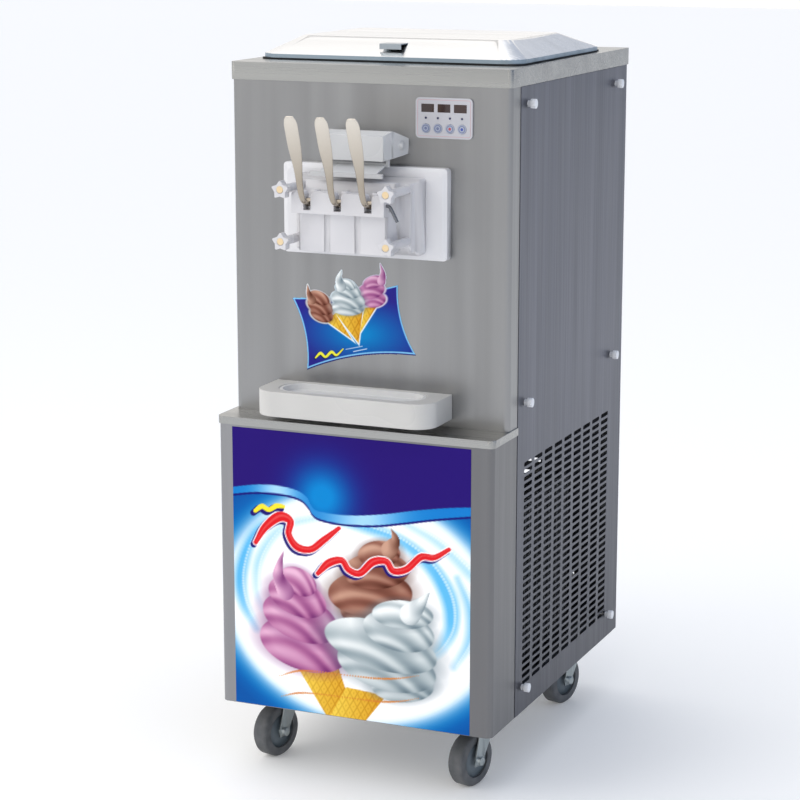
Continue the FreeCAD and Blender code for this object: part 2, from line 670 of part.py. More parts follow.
def make_gear_motors():
    """A gearbox on the back of each barrel, with its motor behind it."""
    drives = []
    for _, side in SIDES:
        x = f"{side}*barrel_gap"
        case = box(f"{x} - gearbox_wide", f"{x} + gearbox_wide", BARREL_END,
                   f"{BARREL_END} + gearbox_deep", "barrel_height - gearbox_wide",
                   "barrel_height + gearbox_wide")
        bore = rod("Y", "beater_shaft + fit_gap", "gearbox_deep/2 + 6", x, f"{BARREL_END} - 1",
                   "barrel_height")
        can = rod("Y", "motor_round", "motor_long", x, f"{BARREL_END} + gearbox_deep", "barrel_height")
        cap = rod("Y", "motor_round - 8", "12", x, f"{BARREL_END} + gearbox_deep + motor_long",
                  "barrel_height")
        drives.append(less(fused(case, can, cap), bore))
    finished("gear_motors", grouped(*drives))


def make_hoppers():
    """Two stainless mix hoppers that hang by their rims, each with a feed tube to its barrel."""
    hoppers = []
    for _, side in SIDES:
        near, far = "hopper_gap/2 + 0.2", "hopper_gap/2 + hopper_wide - 0.2"
        x0, x1 = (near, far) if side > 0 else (f"-({far})", f"-({near})")
        y0, y1 = behind("hopper_start + 0.2"), behind("hopper_start + hopper_long - 0.2")
        rim = "(hopper_rim)"
        bowl = plate_z(HOPPER_FLOOR, "top_height", rectangle(x0, x1, y0, y1, "hopper_round"))
        lip = sketch_on(bowl, "XY_Plane", "top_height")
        outline(lip, rectangle(f"({x0}) - {rim}", f"({x1}) + {rim}", f"{y0} - {rim}", f"{y1} + {rim}",
                               f"hopper_round + {rim}"))
        pad(bowl, lip, "sheet_wall")
        inside = rectangle(f"({x0}) + sheet_wall", f"({x1}) - sheet_wall", f"{y0} + sheet_wall",
                           f"{y1} - sheet_wall", "hopper_round - sheet_wall")
        cut_down(bowl, "top_height + sheet_wall", "hopper_deep", [inside])
        feed_x = f"{side}*(hopper_gap + hopper_wide)/2"
        feed_y = behind("hopper_start + 2*hopper_round")
        tube_low = "(barrel_height + barrel_round - barrel_wall)"
        tube = rod("Z", "feed_round", f"{HOPPER_FLOOR} + 1 - {tube_low}", feed_x, feed_y, tube_low)
        bore = rod("Z", "feed_round - feed_wall", "hopper_deep", feed_x, feed_y, f"{tube_low} - 1")
        hoppers.append(less(fused(bowl, tube), bore))
    finished("mix_hoppers", grouped(*hoppers))


# ---- lid ---------------------------------------------------------------------------------------

def level_outline(level, share, wall="0"):
    """A rounded rectangle of the lid at one level, drawn on a free sketch: the whole lip at a
    share of 0 and the flat top at a share of 1, less the wall."""
    sketch = doc.addObject("Sketcher::SketchObject", "section")
    half = f"(lid_wide/2 - {share}*lid_slope_side - {wall})"
    y0 = behind(f"lid_start + {share}*lid_slope_front + {wall}")
    y1 = behind(f"lid_start + lid_long - {share}*lid_slope_rear - {wall}")
    outline(sketch, rectangle(f"-{half}", half, y0, y1, f"lid_round - {share}*lid_round/2 - {wall}"))
    put(sketch, "0", "0", level)
    return sketch


def lofted(*sections):
    loft = doc.addObject("Part::Loft", "loft")
    loft.Sections = list(sections)
    loft.Solid = True
    loft.Ruled = True
    return loft


def make_lid():
    """A pressed lid over both hoppers: an upright lip, sloping sides and a flat top, hollow
    below, with a bent plate handle on its front slope."""
    low = "(top_height + sheet_wall + lid_lift_gap)"
    top = f"({low} + lid_rise)"
    lip_top = f"({low} + lid_lip)"
    outside = lofted(level_outline(low, 0), level_outline(lip_top, 0), level_outline(top, 1))
    hollow = lofted(level_outline(f"{low} - 1", 0, "lid_wall"),
                    level_outline(f"{lip_top} - lid_wall/2", 0, "lid_wall"),
                    level_outline(f"{top} - lid_wall", 1, "lid_wall/2"))
    finished("hopper_lid", less(outside, hollow))
    grip_y = behind("lid_start + grip_start")
    grip_top = f"({lip_top} + grip_rise - lid_lip)"
    flange = box("-grip_wide/2", "grip_wide/2", grip_y, behind("lid_start + lid_slope_front"),
                 f"{grip_top} - lid_wall", grip_top)
    apron = box("-grip_wide/2", "grip_wide/2", grip_y, f"{grip_y} + lid_wall",
                f"{grip_top} - grip_high", grip_top)
    lean = math.atan2(worth("lid_rise - lid_lip"), worth("lid_slope_front"))
    below = doc.addObject("Part::Box", "below")
    bind(below, Length="grip_wide + 20", Width="2*lid_slope_front", Height="lid_slope_front")
    put(below, "-grip_wide/2 - 10", f"{behind('lid_start')} + lid_slope_front*{math.sin(lean):.6f}",
        f"{lip_top} - lid_slope_front*{math.cos(lean):.6f}", (1, 0, 0), math.degrees(lean))
    finished("lid_handle", less(fused(flange, apron), below))


# ---- dispensing head -----------------------------------------------------------------------------

def make_surround():
    """The moulded frame on the upper front panel that the barrels and the studs pass through."""
    half = "surround_wide/2"
    slope = doc.addObject("Part::Loft", "loft")
    sections = []
    for distance, inset in (("0", "0"), ("surround_deep - surround_edge/2", "0"),
                            ("surround_deep", "surround_edge")):
        sketch = doc.addObject("Sketcher::SketchObject", "section")
        outline(sketch, rectangle(f"-{half} + {inset}", f"{half} - {inset}",
                                  f"surround_low + {inset}", f"surround_top - {inset}",
                                  "surround_round"))
        put(sketch, "0", ahead(distance), "0", (1, 0, 0), 90)
        sections.append(sketch)
    slope.Sections = sections
    slope.Solid = True
    slope.Ruled = True
    holes = [rod("Y", "barrel_round + run_gap", "surround_deep + 2", f"{side}*barrel_gap",
                 ahead("surround_deep + 1"), "barrel_height") for _, side in SIDES]
    holes += [rod("Y", "stud_round + run_gap", "surround_deep + 2", f"{side}*knob_gap",
                  ahead("surround_deep + 1"), height)
              for _, side in SIDES for height in ("knob_high", "knob_lower")]
    finished("door_surround", less(slope, *holes))


def make_door():
    """The removable door: a stepped flange, the valve block with three draw valves, and the bar
    that holds the lever pivot, slotted between round-shouldered lugs."""
    seat = "surround_deep"
    flange = plate_y(ahead("surround_deep + flange_deep"), ahead(seat),
                     rectangle("-flange_wide/2", "flange_wide/2", "flange_low", "flange_top",
                               "flange_round"))
    cheek_face = "(surround_deep + flange_deep + cheek_deep)"
    cheek = plate_y(ahead(cheek_face), ahead("surround_deep + flange_deep"),
                    rectangle("-cheek_wide/2", "cheek_wide/2", "cheek_low", "cheek_top",
                              "flange_round"))
    block = box("-block_wide/2", "block_wide/2", ahead("block_front"), ahead(cheek_face),
                "block_low", "shelf_height")
    wall = box("-block_wide/2", "block_wide/2", ahead("wall_back"), ahead(cheek_face),
               "shelf_height", "wall_top - 5")
    profile = [("-bar_wide/2", "bar_low"), ("bar_wide/2", "bar_low"), ("bar_wide/2", "bar_top", "lug_round")]
    for _, place in reversed(LEVERS):
        left, right = f"{place}*lever_gap - lever_slot/2", f"{place}*lever_gap + lever_slot/2"
        profile += [(right, "bar_top", "lug_round"), (right, "slot_floor"), (left, "slot_floor"),
                    (left, "bar_top", "lug_round")]
    profile.append(("-bar_wide/2", "bar_top", "lug_round"))
    bar = plate_y(ahead("bar_front"), ahead("bar_back"), profile)
    web = box("-block_wide/2", "block_wide/2", ahead("bar_back"), ahead("block_front"),
              "bar_low", "shelf_height")
    pads = [box(f"{place}*lever_gap - pad_wide/2", f"{place}*lever_gap + pad_wide/2",
                ahead("block_front + pad_proud"), ahead("block_front"), "block_low", "bar_low")
            for _, place in LEVERS]
    plugs = [rod("Y", "barrel_round - barrel_wall - plug_slack", "plug_long", f"{side}*barrel_gap",
                 ahead(seat), "barrel_height") for _, side in SIDES]
    holes = []
    for _, place in LEVERS:
        x = f"{place}*lever_gap"
        valve_y = ahead("pivot_ahead - finger_reach")
        holes.append(rod("Z", "plunger_round + run_gap", "shelf_height - plunger_low + 1", x,
                         valve_y, "plunger_low - run_gap"))
        holes.append(rod("Z", "outlet_round", "plunger_low - block_low + 2", x, valve_y,
                         "block_low - 1"))
        holes.append(rod("Y", "inlet_round", f"pivot_ahead - finger_reach - surround_deep + plug_long + 1",
                         x, valve_y, "inlet_height"))
    holes.append(rod("X", "rod_round + fit_gap", "bar_wide + 2", "-bar_wide/2 - 1",
                     ahead("pivot_ahead"), "pivot_height"))
    holes += [rod("Y", "stud_round + run_gap", f"{cheek_face} + 2", f"{side}*knob_gap",
                  ahead(f"{cheek_face} + 1"), height)
              for _, side in SIDES for height in ("knob_high", "knob_lower")]
    finished("dispensing_door", less(fused(flange, cheek, block, wall, bar, web, *pads, *plugs), *holes))


def make_studs():
    """Steel studs fixed to the front panel. The door hangs on them."""
    studs = [rod("Y", "stud_round", "stud_end + 14", f"{side}*knob_gap", ahead("stud_end"), height)
             for _, side in SIDES for height in ("knob_high", "knob_lower")]
    finished("door_studs", grouped(*studs))


def make_knob(name, side, height):
    """A star knob on a long sleeve, threaded on its stud, with a recess for its inlay."""
    x = f"{side}*knob_gap"
    cheek_face = "(surround_deep + flange_deep + cheek_deep)"
    star = new_body()
    sketch = sketch_on(star, "XZ_Plane", axis_y(ahead("knob_front")))
    corners = []
    for point in range(10):
        lean = math.radians(90 + 36 * point)
        reach = "star_outer" if point % 2 == 0 else "star_inner"
        corners.append((f"{x} + {reach}*{math.cos(lean):.5f}", f"{height} + {reach}*{math.sin(lean):.5f}"))
    outline(sketch, corners)
    pad(star, sketch, "star_thick", towards_back=True)
    trim = rod("Y", "star_outer - 1.5", "star_thick", x, ahead("knob_front"), height)
    head = doc.addObject("Part::MultiCommon", "head")
    head.Shapes = [star, trim]
    sleeve = rod("Y", "sleeve_round", f"knob_front - {cheek_face} - run_gap - 2", x,
                 ahead("knob_front - 2"), height)
    recess = rod("Y", "inlay_round", "inlay_deep + 1", x, ahead("knob_front + 1"), height)
    bore = rod("Y", "stud_round + fit_gap", f"stud_end + 1 - {cheek_face} + run_gap + 1", x,
               ahead("stud_end + 1"), height)
    finished(name, less(fused(head, sleeve), recess, bore))


def make_pivot_rod():
    """The pull-out rod through the bar and the levers, bent down at its right end."""
    end = "bar_wide/2 + 1"
    y = ahead("pivot_ahead")
    straight = rod("X", "rod_round", "bar_wide + 1", "-bar_wide/2", y, "pivot_height")
    bend = doc.addObject("Part::Torus", "bend")
    bind(bend, Radius1="rod_bend", Radius2="rod_round", Angle3="rod_turn")
    put(bend, end, y, "pivot_height - rod_bend", (1, 1, 1), 240)
    leg = doc.addObject("Part::Cylinder", "leg")
    bind(leg, Radius="rod_round", Height="rod_leg")
    put(leg, f"{end} + rod_bend*sin(rod_turn*1deg)", y,
        "pivot_height - rod_bend*(1 - cos(rod_turn*1deg))", (0, 1, 0), 90 + worth("rod_turn"))
    finished("lever_pivot_rod", fused(straight, bend, leg))


# Stations of a lever from its hub to its tip: forward, up, lean from upright, half width, half
# thickness. It leaves the bar forwards, turns up and widens into a flat spoon.
LEVER_STATIONS = (
    (4, 0.0, 90, 4.8, 3.4), (13, 0.0, 88, 4.8, 3.4), (24, 3.5, 62, 5.0, 3.4), (32, 13, 32, 5.4, 3.4),
    (38, 28, 18, 6.0, 3.4), (42.5, 47, 12, 6.8, 3.4), (47.5, 68, 15, 9.0, 3.3),
    (55, 90, 20, 11.6, 3.2), (63.5, 113, 20, 12.8, 3.1), (71, 134, 19, 12.9, 2.9),
    (76, 149, 17, 11.2, 2.5), (77.9, 155, 16, 7.0, 1.6))


def make_lever(name, place):
    """A bright steel draw lever with a hub on the rod and a finger in its plunger's notch."""
    x = f"{place}*lever_gap"
    sections = []
    for forward, up, lean, wide, thick in LEVER_STATIONS:
        oval = doc.addObject("Part::Ellipse", "oval")
        bind(oval, MajorRadius=f"{wide}*lever_scale", MinorRadius=f"{thick}*lever_scale")
        put(oval, x, ahead(f"pivot_ahead + {forward}*lever_scale"),
            f"pivot_height + {up}*lever_scale", (1, 0, 0), lean)
        sections.append(oval)
    blade = doc.addObject("Part::Loft", "blade")
    blade.Sections = sections
    blade.Solid = True
    blade.Ruled = False
    pivot_y = ahead("pivot_ahead")
    hub = rod("X", "hub_round", "hub_wide", f"{x} - hub_wide/2", pivot_y, "pivot_height")
    finger = doc.addObject("Part::Box", "finger")
    bind(finger, Length="finger_wide", Width="finger_reach", Height="finger_thick")
    dip = worth("finger_dip")
    put(finger, f"{x} - finger_wide/2", f"{pivot_y} - finger_thick/2*sin(finger_dip)",
        "pivot_height - finger_thick/2*cos(finger_dip)", (1, 0, 0), -dip)
    ball = rod("X", "finger_ball", "finger_wide", f"{x} - finger_wide/2",
               f"{pivot_y} + finger_reach*cos(finger_dip)", "pivot_height - finger_reach*sin(finger_dip)")
    bore = rod("X", "rod_round + fit_gap", "hub_wide + 2", f"{x} - hub_wide/2 - 1", pivot_y,
               "pivot_height")
    finished(name, less(fused(blade, hub, finger, ball), bore))


def make_plunger(name, place):
    """A white draw valve plunger with a notch across its front for the lever's finger."""
    x = f"{place}*lever_gap"
    y = ahead("pivot_ahead - finger_reach")
    stem = rod("Z", "plunger_round", "plunger_top - plunger_low - 4", x, y, "plunger_low")
    crown = cone("Z", "plunger_round", "plunger_round - 3", "4", x, y, "plunger_top - 4")
    middle = "(pivot_height - finger_reach*sin(finger_dip))"
    notch = box(f"{x} - plunger_round - 1", f"{x} + plunger_round + 1", f"{y} - plunger_round - 1",
                f"{y} + finger_ball + 1.5", f"{middle} - notch_high/2", f"{middle} + notch_high/2")
    finished(name, less(fused(stem, crown), notch))


def make_hood():
    """The white switch housing above the door: a faceted block with slanted ends, two ears for
    the flap below it and a round boss on its right end."""
    sections = []
    for distance, wide, low, top in (("0", "hood_back_wide", "hood_back_low", "hood_back_top"),
                                     ("hood_mid", "hood_mid_wide", "hood_mid_low", "hood_mid_top"),
                                     ("hood_front", "hood_front_wide", "hood_front_low",
                                      "hood_front_top")):
        sketch = doc.addObject("Sketcher::SketchObject", "section")
        outline(sketch, rectangle(f"-{wide}/2", f"{wide}/2", low, top))
        put(sketch, "0", ahead(distance), "0", (1, 0, 0), 90)
        sections.append(sketch)
    hood = lofted(*sections)
    boss = rod("X", "boss_round", "boss_long", "hood_back_wide/2 - boss_long - 2",
               ahead("boss_ahead"), "boss_height")
    ears = []
    for _, side in SIDES:
        inner = f"{side}*(flap_wide/2 + run_gap)"
        outer = f"{side}*(flap_wide/2 + run_gap + ear_thick)"
        x0, x1 = (inner, outer) if side > 0 else (outer, inner)
        ear = box(x0, x1, ahead("flap_pivot + flap_barrel"), ahead("flap_pivot - flap_barrel"),
                  "flap_height - flap_barrel", "hood_mid_low + 3")
        hole = rod("X", "flap_pin + fit_gap", "ear_thick + 2", f"{x0} - 1", ahead("flap_pivot"),
                   "flap_height")
        ears.append(less(ear, hole))
    finished("switch_housing", fused(hood, boss, *ears))


def make_flap():
    """The switch flap below the housing, on a barrel whose pins turn in the housing's ears."""
    y = ahead("flap_pivot")
    slope = math.degrees(math.atan2(worth("flap_drop"), worth("flap_reach")))
    barrel = rod("X", "flap_barrel", "flap_wide", "-flap_wide/2", y, "flap_height")
    pins = rod("X", "flap_pin", "flap_wide + 2*run_gap + 2*ear_thick",
               "-flap_wide/2 - run_gap - ear_thick", y, "flap_height")
    sheet = doc.addObject("Part::Box", "sheet")
    bind(sheet, Length="flap_wide", Height="flap_thick",
         Width="sqrt(flap_reach*flap_reach + flap_drop*flap_drop)")
    put(sheet, "-flap_wide/2", f"{y} - flap_reach", "flap_height - flap_drop - flap_thick/2",
        (1, 0, 0), slope)
    lip = box("-flap_lip_wide/2", "flap_lip_wide/2", f"{y} - flap_reach - flap_lip_thick",
              f"{y} - flap_reach", "flap_height - flap_drop - flap_lip_high/2",
              "flap_height - flap_drop + flap_lip_high/2")
    finished("switch_flap", fused(barrel, pins, sheet, lip))


# ---- control panel -------------------------------------------------------------------------------

def make_control_panel():
    """The bezel on the front panel, with three display windows, four lamps and four buttons."""
    face = ahead("panel_deep")
    bezel = plate_y(face, FACE, rectangle("panel_x - panel_wide/2", "panel_x + panel_wide/2",
                                          "panel_z - panel_high/2", "panel_z + panel_high/2",
                                          "panel_round"))
    windows, lamps, panes = [], [], []
    for step in (-1, 0, 1):
        x = f"(panel_x + {step}*window_pitch)"
        z = "(panel_z + window_rise)"
        windows.append(rectangle(f"{x} - window_wide/2", f"{x} + window_wide/2",
                                 f"{z} - window_high/2", f"{z} + window_high/2"))
        panes.append(box(f"{x} - window_wide/2", f"{x} + window_wide/2", face,
                         f"{face} + window_deep", f"{z} - window_high/2", f"{z} + window_high/2"))
    cut_y(bezel, face, "window_deep", windows)
    beads = []
    for step in (-1.5, -0.5, 0.5, 1.5):
        x = f"(panel_x + {step}*lamp_pitch)"
        lamps.append((x, "panel_z", "lamp_round"))
        beads.append(rod("Y", "lamp_round", "panel_deep + lamp_proud", x,
                         ahead("panel_deep + lamp_proud"), "panel_z"))
    cut_y(bezel, face, "panel_deep + 1", rings=lamps)
    holes = []
    for number, step in enumerate((-1.5, -0.5, 0.5, 1.5), start=1):
        x = f"(panel_x + {step}*button_pitch)"
        z = "(panel_z - button_drop)"
        holes.append((x, z, "button_round + run_gap"))
        finished(f"button_{number}", rod("Y", "button_round", "button_thick", x,
                                         ahead("panel_deep + button_proud"), z))
    cut_y(bezel, face, "panel_deep + 1", rings=holes)
    finished("control_bezel", bezel)
    finished("display_windows", grouped(*panes))
    finished("indicator_lamps", grouped(*beads))


def make_electrical_box():
    """The sheet steel box behind the control panel."""
    y0 = f"{FACE} + sheet_wall + 6"
    y1 = f"{FACE} + sheet_wall + 6 + ebox_deep"
    x0, x1 = "panel_x - ebox_wide/2", "panel_x + ebox_wide/2"
    z0, z1 = "panel_z - ebox_drop - ebox_high/2", "panel_z - ebox_drop + ebox_high/2"
    case = box(x0, x1, y0, y1, z0, z1)
    room = box(f"{x0} + ebox_wall", f"{x1} - ebox_wall", f"{y0} - 1", f"{y1} - ebox_wall",
               f"{z0} + ebox_wall", f"{z1} - ebox_wall")
    finished("electrical_box", less(case, room))


# ---- drip tray -------------------------------------------------------------------------------------

TRAY_FRONT = ahead("tray_deep")
TRAY_BACK = ahead("run_gap")
TRAY_TOP = "(tray_low + tray_high)"


def make_tray():
    """A moulded tray with round front corners, a lift-out dish and a slot for its bracket."""
    left, right = "(-tray_left)", "(tray_wide - tray_left)"
    tray = plate_z("tray_low", TRAY_TOP, [
        (left, TRAY_FRONT, "tray_round"), (right, TRAY_FRONT, "tray_round"),
        (right, TRAY_BACK), (left, TRAY_BACK)])

    def hollow(inset):
        return rectangle(f"{left} + basin_side + {inset}", f"{right} - basin_side - {inset}",
                         f"{TRAY_FRONT} + basin_front + {inset}", f"{TRAY_BACK} - basin_back - {inset}",
                         f"basin_round - {inset}")

    cut_down(tray, TRAY_TOP, "liner_drop + liner_wall", [hollow("0")])
    cut_down(tray, TRAY_TOP, "basin_deep", [hollow("liner_ledge")])
    shelf = box("-bracket_wide/2 - tray_slack", "bracket_wide/2 + tray_slack",
                ahead("bracket_reach + tray_slack"), ahead("-1"),
                "tray_low + bracket_rise - tray_slack",
                "tray_low + bracket_rise + bracket_thick + tray_slack")
    back = box("-bracket_wide/2 - tray_slack", "bracket_wide/2 + tray_slack",
               ahead("bracket_thick + tray_slack"), ahead("-1"),
               "tray_low + bracket_rise - tray_slack",
               "tray_low + bracket_rise + bracket_back + tray_slack")
    finished("drip_tray", less(tray, shelf, back))

    dish_top = f"({TRAY_TOP} - liner_drop)"
    rim = plate_z(f"{dish_top} - liner_wall", dish_top, hollow("tray_slack"))
    bowl = plate_z(f"{dish_top} - liner_deep", dish_top, hollow("(liner_ledge + tray_slack)"))
    room = plate_z(f"{dish_top} - liner_deep + liner_wall", f"{dish_top} + 1",
                   hollow("(liner_ledge + tray_slack + liner_wall)"))
    finished("drip_liner", less(fused(rim, bowl), room))


def make_bracket():
    """The steel angle on the front panel that the tray slides onto."""
    low = "(tray_low + bracket_rise)"
    shelf = box("-bracket_wide/2", "bracket_wide/2", ahead("bracket_reach"), FACE, low,
                f"{low} + bracket_thick")
    back = box("-bracket_wide/2", "bracket_wide/2", ahead("bracket_thick"), FACE, low,
               f"{low} + bracket_back")
    finished("tray_bracket", fused(shelf, back))


# ---- decals ------------------------------------------------------------------------------------------

def make_poster():
    """The printed sheet on the lower front panel."""
    finished("front_poster", box("poster_x - poster_wide/2", "poster_x + poster_wide/2",
                                 behind("-decal_thick"), FRONT, "poster_low", "poster_top"))


# The upper decal's corners and the middles of its curved sides, from the machine's centre plane.
STICKER_CORNERS = ((-153, 895), (58, 932), (94, 805), (-124, 762))
STICKER_MIDDLES = ((-46, 907), (64, 870), (-15, 797), (-128, 833))


def make_sticker():
    """The small printed decal below the door, a four-cornered shape with curved sides."""
    edges = []
    for i, corner in enumerate(STICKER_CORNERS):
        ends = (corner, STICKER_MIDDLES[i], STICKER_CORNERS[(i + 1) % 4])
        points = [FreeCAD.Vector(x, 0, z) for x, z in ends]
        edges.append(Part.Arc(*points).toShape())
    face = Part.Face(Part.Wire(edges))
    sticker = doc.addObject("Part::Feature", "sticker")
    sticker.Shape = face.extrude(FreeCAD.Vector(0, worth("decal_thick"), 0))
    put(sticker, "0", ahead("decal_thick"), "0")
    finished("front_sticker", sticker)


# ---- casters -----------------------------------------------------------------------------------------

CASTERS = (("front_left", -1, "caster_front"), ("front_right", 1, "caster_front"),
           ("rear_left", -1, "caster_rear"), ("rear_right", 1, "caster_rear"))


def make_caster_plates():
    """The square mounting plates under the floor ring, each with a hole for its kingpin."""
    plates = []
    for _, side, place in CASTERS:
        x, y = f"{side}*caster_x", behind(place)
        plate = box(f"{x} - mount_plate/2", f"{x} + mount_plate/2", f"{y} - mount_plate/2",
                    f"{y} + mount_plate/2", "floor_gap", RAIL_LOW)
        hole = rod("Z", "kingpin_round + fit_gap", "plate_thick + 2", x, y, "floor_gap - 1")
        plates.append(less(plate, hole))
    finished("caster_plates", grouped(*plates))


def turned(solid, side, place):
    """Stand a caster part that was made about the Z axis under its kingpin, at its swivel angle."""
    holder = doc.addObject("Part::Compound", "swivelled")
    holder.Links = [solid]
    return put(holder, f"{side}*caster_x", behind(place), "0", turn=worth("caster_yaw"))


def make_caster(name, side, place):
    """A swivel fork with its kingpin and axle, and a tyred wheel on the axle."""
    race_top = "(floor_gap - run_gap)"
    leg_top = "(floor_gap - run_gap - race_high)"
    race = rod("Z", "race_round", "race_high", "0", "0", leg_top)
    kingpin = rod("Z", "kingpin_round", "plate_thick + run_gap + 1", "0", "0", f"{race_top} - 1")
    legs = []
    for _, leg in SIDES:
        inner, outer = f"{leg}*fork_gap", f"{leg}*(fork_gap + fork_wall)"
        x0, x1 = (inner, outer) if leg > 0 else (outer, inner)
        body = new_body()
        sketch = sketch_on(body, "YZ_Plane", x0)
        outline(sketch, [("-race_round + 6", f"{leg_top} + 4"), ("-caster_trail - 13", "wheel_round + 6"),
                         ("-caster_trail - 13", "wheel_round - 9"), ("-caster_trail + 13", "wheel_round - 9"),
                         ("-caster_trail + 15", "wheel_round + 6"), ("race_round - 8", f"{leg_top} + 4")])
        pad(body, sketch, "fork_wall")
        legs.append(body)
    axle = rod("X", "axle_round", "2*(fork_gap + fork_wall + nut_thick)",
               "-(fork_gap + fork_wall + nut_thick)", "-caster_trail", "wheel_round")
    nuts = []
    for _, end in SIDES:
        start = "fork_gap + fork_wall" if end > 0 else "-(fork_gap + fork_wall + nut_thick)"
        nuts.append(rod("X", "axle_nut", "nut_thick", start, "-caster_trail", "wheel_round"))
    finished(f"caster_fork_{name}", turned(fused(race, kingpin, *legs, axle, *nuts), side, place))

    start = "-wheel_wide/2"
    tread = rod("X", "wheel_round", "wheel_wide - 10", f"{start} + 5", "-caster_trail", "wheel_round")
    shoulders = [cone("X", "wheel_round - 4", "wheel_round", "5", start, "-caster_trail", "wheel_round"),
                 cone("X", "wheel_round", "wheel_round - 4", "5", f"{start} + wheel_wide - 5",
                      "-caster_trail", "wheel_round")]
    seat = rod("X", "hub_rim", "wheel_wide + 2", f"{start} - 1", "-caster_trail", "wheel_round")
    tyre = less(fused(tread, *shoulders), seat)
    rim = rod("X", "hub_rim", "wheel_wide - 8", f"{start} + 4", "-caster_trail", "wheel_round")
    boss = rod("X", "hub_boss", "2*(fork_gap - run_gap)", "-(fork_gap - run_gap)",
               "-caster_trail", "wheel_round")
    bore = rod("X", "axle_round + fit_gap", "2*fork_gap + 2", "-fork_gap - 1", "-caster_trail",
               "wheel_round")
    hub = less(fused(rim, boss), bore)
    finished(f"caster_wheel_{name}", turned(grouped(tyre, hub), side, place))


# ---- refrigeration on the floor plate ------------------------------------------------------------------

def make_compressor():
    """The hermetic compressor: a can with a domed top on four feet."""
    x, y = "comp_x", behind("comp_s")
    low = f"({FLOOR_TOP} + 12)"
    can = rod("Z", "comp_round", "comp_high - comp_dome", x, y, low)
    dome = cone("Z", "comp_round", "comp_round - comp_dome", "comp_dome", x, y,
                f"{low} + comp_high - comp_dome")
    foot = box(f"{x} - comp_round", f"{x} + comp_round", f"{y} - comp_round", f"{y} + comp_round",
               f"{low} - 4", f"{low} + 1")
    studs = [rod("Z", "10", "9", f"{x} + {a}*(comp_round - 14)", f"{y} + {b}*(comp_round - 14)",
                 FLOOR_TOP) for a in (-1, 1) for b in (-1, 1)]
    finished("compressor", fused(can, dome, foot, *studs))


def make_condenser():
    """The finned coil beside the right-hand vents, with its fan shroud on the inner face."""
    x0, x1 = "coil_x", "(coil_x + coil_thick)"
    y0, y1 = behind("coil_start"), behind("coil_start + coil_long")
    z1 = "(coil_low + coil_high)"
    core = box(f"{x0} + 4", f"{x1} - 4", y0, y1, "coil_low", z1)
    fins = [box(x0, x1, f"{y0} + {i}*fin_pitch", f"{y0} + {i}*fin_pitch + fin_thick", "coil_low", z1)
            for i in range(int(worth("coil_long/fin_pitch")) + 1)]
    coil = fused(core, *fins)
    plate = box(f"{x0} - shroud_deep", x0, y0, y1, "coil_low", z1)
    hole = rod("X", "fan_round + fan_gap", "shroud_deep + 2", f"{x0} - shroud_deep - 1",
               behind("coil_start + coil_long/2"), "coil_low + coil_high/2")
    finished("condenser", grouped(coil, less(plate, hole)))


def make_fan():
    """The condenser fan and the motor that turns it."""
    y = behind("coil_start + coil_long/2")
    z = "(coil_low + coil_high/2)"
    plane = "(coil_x - shroud_deep/2 - fan_wide/2)"
    hub = rod("X", "fan_hub", "fan_wide", plane, y, z)
    blades = []
    for i in range(int(worth("fan_blades"))):
        lean = 360 * i / int(worth("fan_blades"))
        blade = doc.addObject("Part::Box", "blade")
        bind(blade, Length="fan_wide", Width="3", Height="fan_round - 4")
        put(blade, plane, f"{y} - 1.5*{math.cos(math.radians(lean)):.5f}",
            f"{z} - 1.5*{math.sin(math.radians(lean)):.5f}", (1, 0, 0), lean)
        blades.append(blade)
    bore = rod("X", "5 + fit_gap", "fan_wide + 2", f"{plane} - 1", y, z)
    finished("condenser_fan", less(fused(hub, *blades), bore))
    motor_end = f"({plane} - fan_gap)"
    can = rod("X", "fan_motor_round", "fan_motor_long", f"{motor_end} - fan_motor_long", y, z)
    shaft = rod("X", "5", "fan_wide + fan_gap", motor_end, y, z)
    stand = box(f"{motor_end} - fan_motor_long + 8", f"{motor_end} - 8", f"{y} - 30", f"{y} + 30",
                FLOOR_TOP, z)
    room = rod("X", "fan_motor_round", "fan_motor_long", f"{motor_end} - fan_motor_long", y, z)
    finished("fan_motor", fused(can, shaft, less(stand, room)))


def make_gland():
    """The cable gland on the rear panel, open for a lead of up to 13 mm."""
    y = f"{BACK} - 6"
    barrel = rod("Y", "gland_round", "gland_long + 6", "gland_x", y, "gland_z")
    nut = hex_nut("gland_nut", "gland_nut_thick", "gland_x", BACK, "gland_z")
    lock = hex_nut("gland_nut", "4", "gland_x", f"{BACK} - sheet_wall - 4", "gland_z")
    bore = rod("Y", "gland_bore", "gland_long + 8", "gland_x", f"{y} - 1", "gland_z")
    finished("cable_gland", less(fused(barrel, nut, lock), bore))


# ---- the whole machine ---------------------------------------------------------------------------------

make_frame()
make_floor_plate()
make_front_panels()
make_rear_panel()
make_side_panels()
make_thumb_screws()
make_step_shelf()
make_top_cover()
make_freezing_cylinders()
for side_name, side_sign in SIDES:
    make_beater(f"beater_{side_name}", side_sign)
make_gear_motors()
make_hoppers()
make_lid()
make_surround()
make_door()
make_studs()
for side_name, side_sign in SIDES:
    make_knob(f"star_knob_upper_{side_name}", side_sign, "knob_high")
    make_knob(f"star_knob_lower_{side_name}", side_sign, "knob_lower")
make_pivot_rod()
for lever_name, lever_place in LEVERS:
    make_lever(f"lever_{lever_name}", lever_place)
    make_plunger(f"plunger_{lever_name}", lever_place)
make_hood()
make_flap()
make_control_panel()
make_electrical_box()
make_tray()
make_bracket()
make_poster()
make_sticker()
make_caster_plates()
for caster_name, caster_side, caster_place in CASTERS:
    make_caster(caster_name, caster_side, caster_place)
make_compressor()
make_condenser()
make_fan()
make_gland()
doc.recompute()

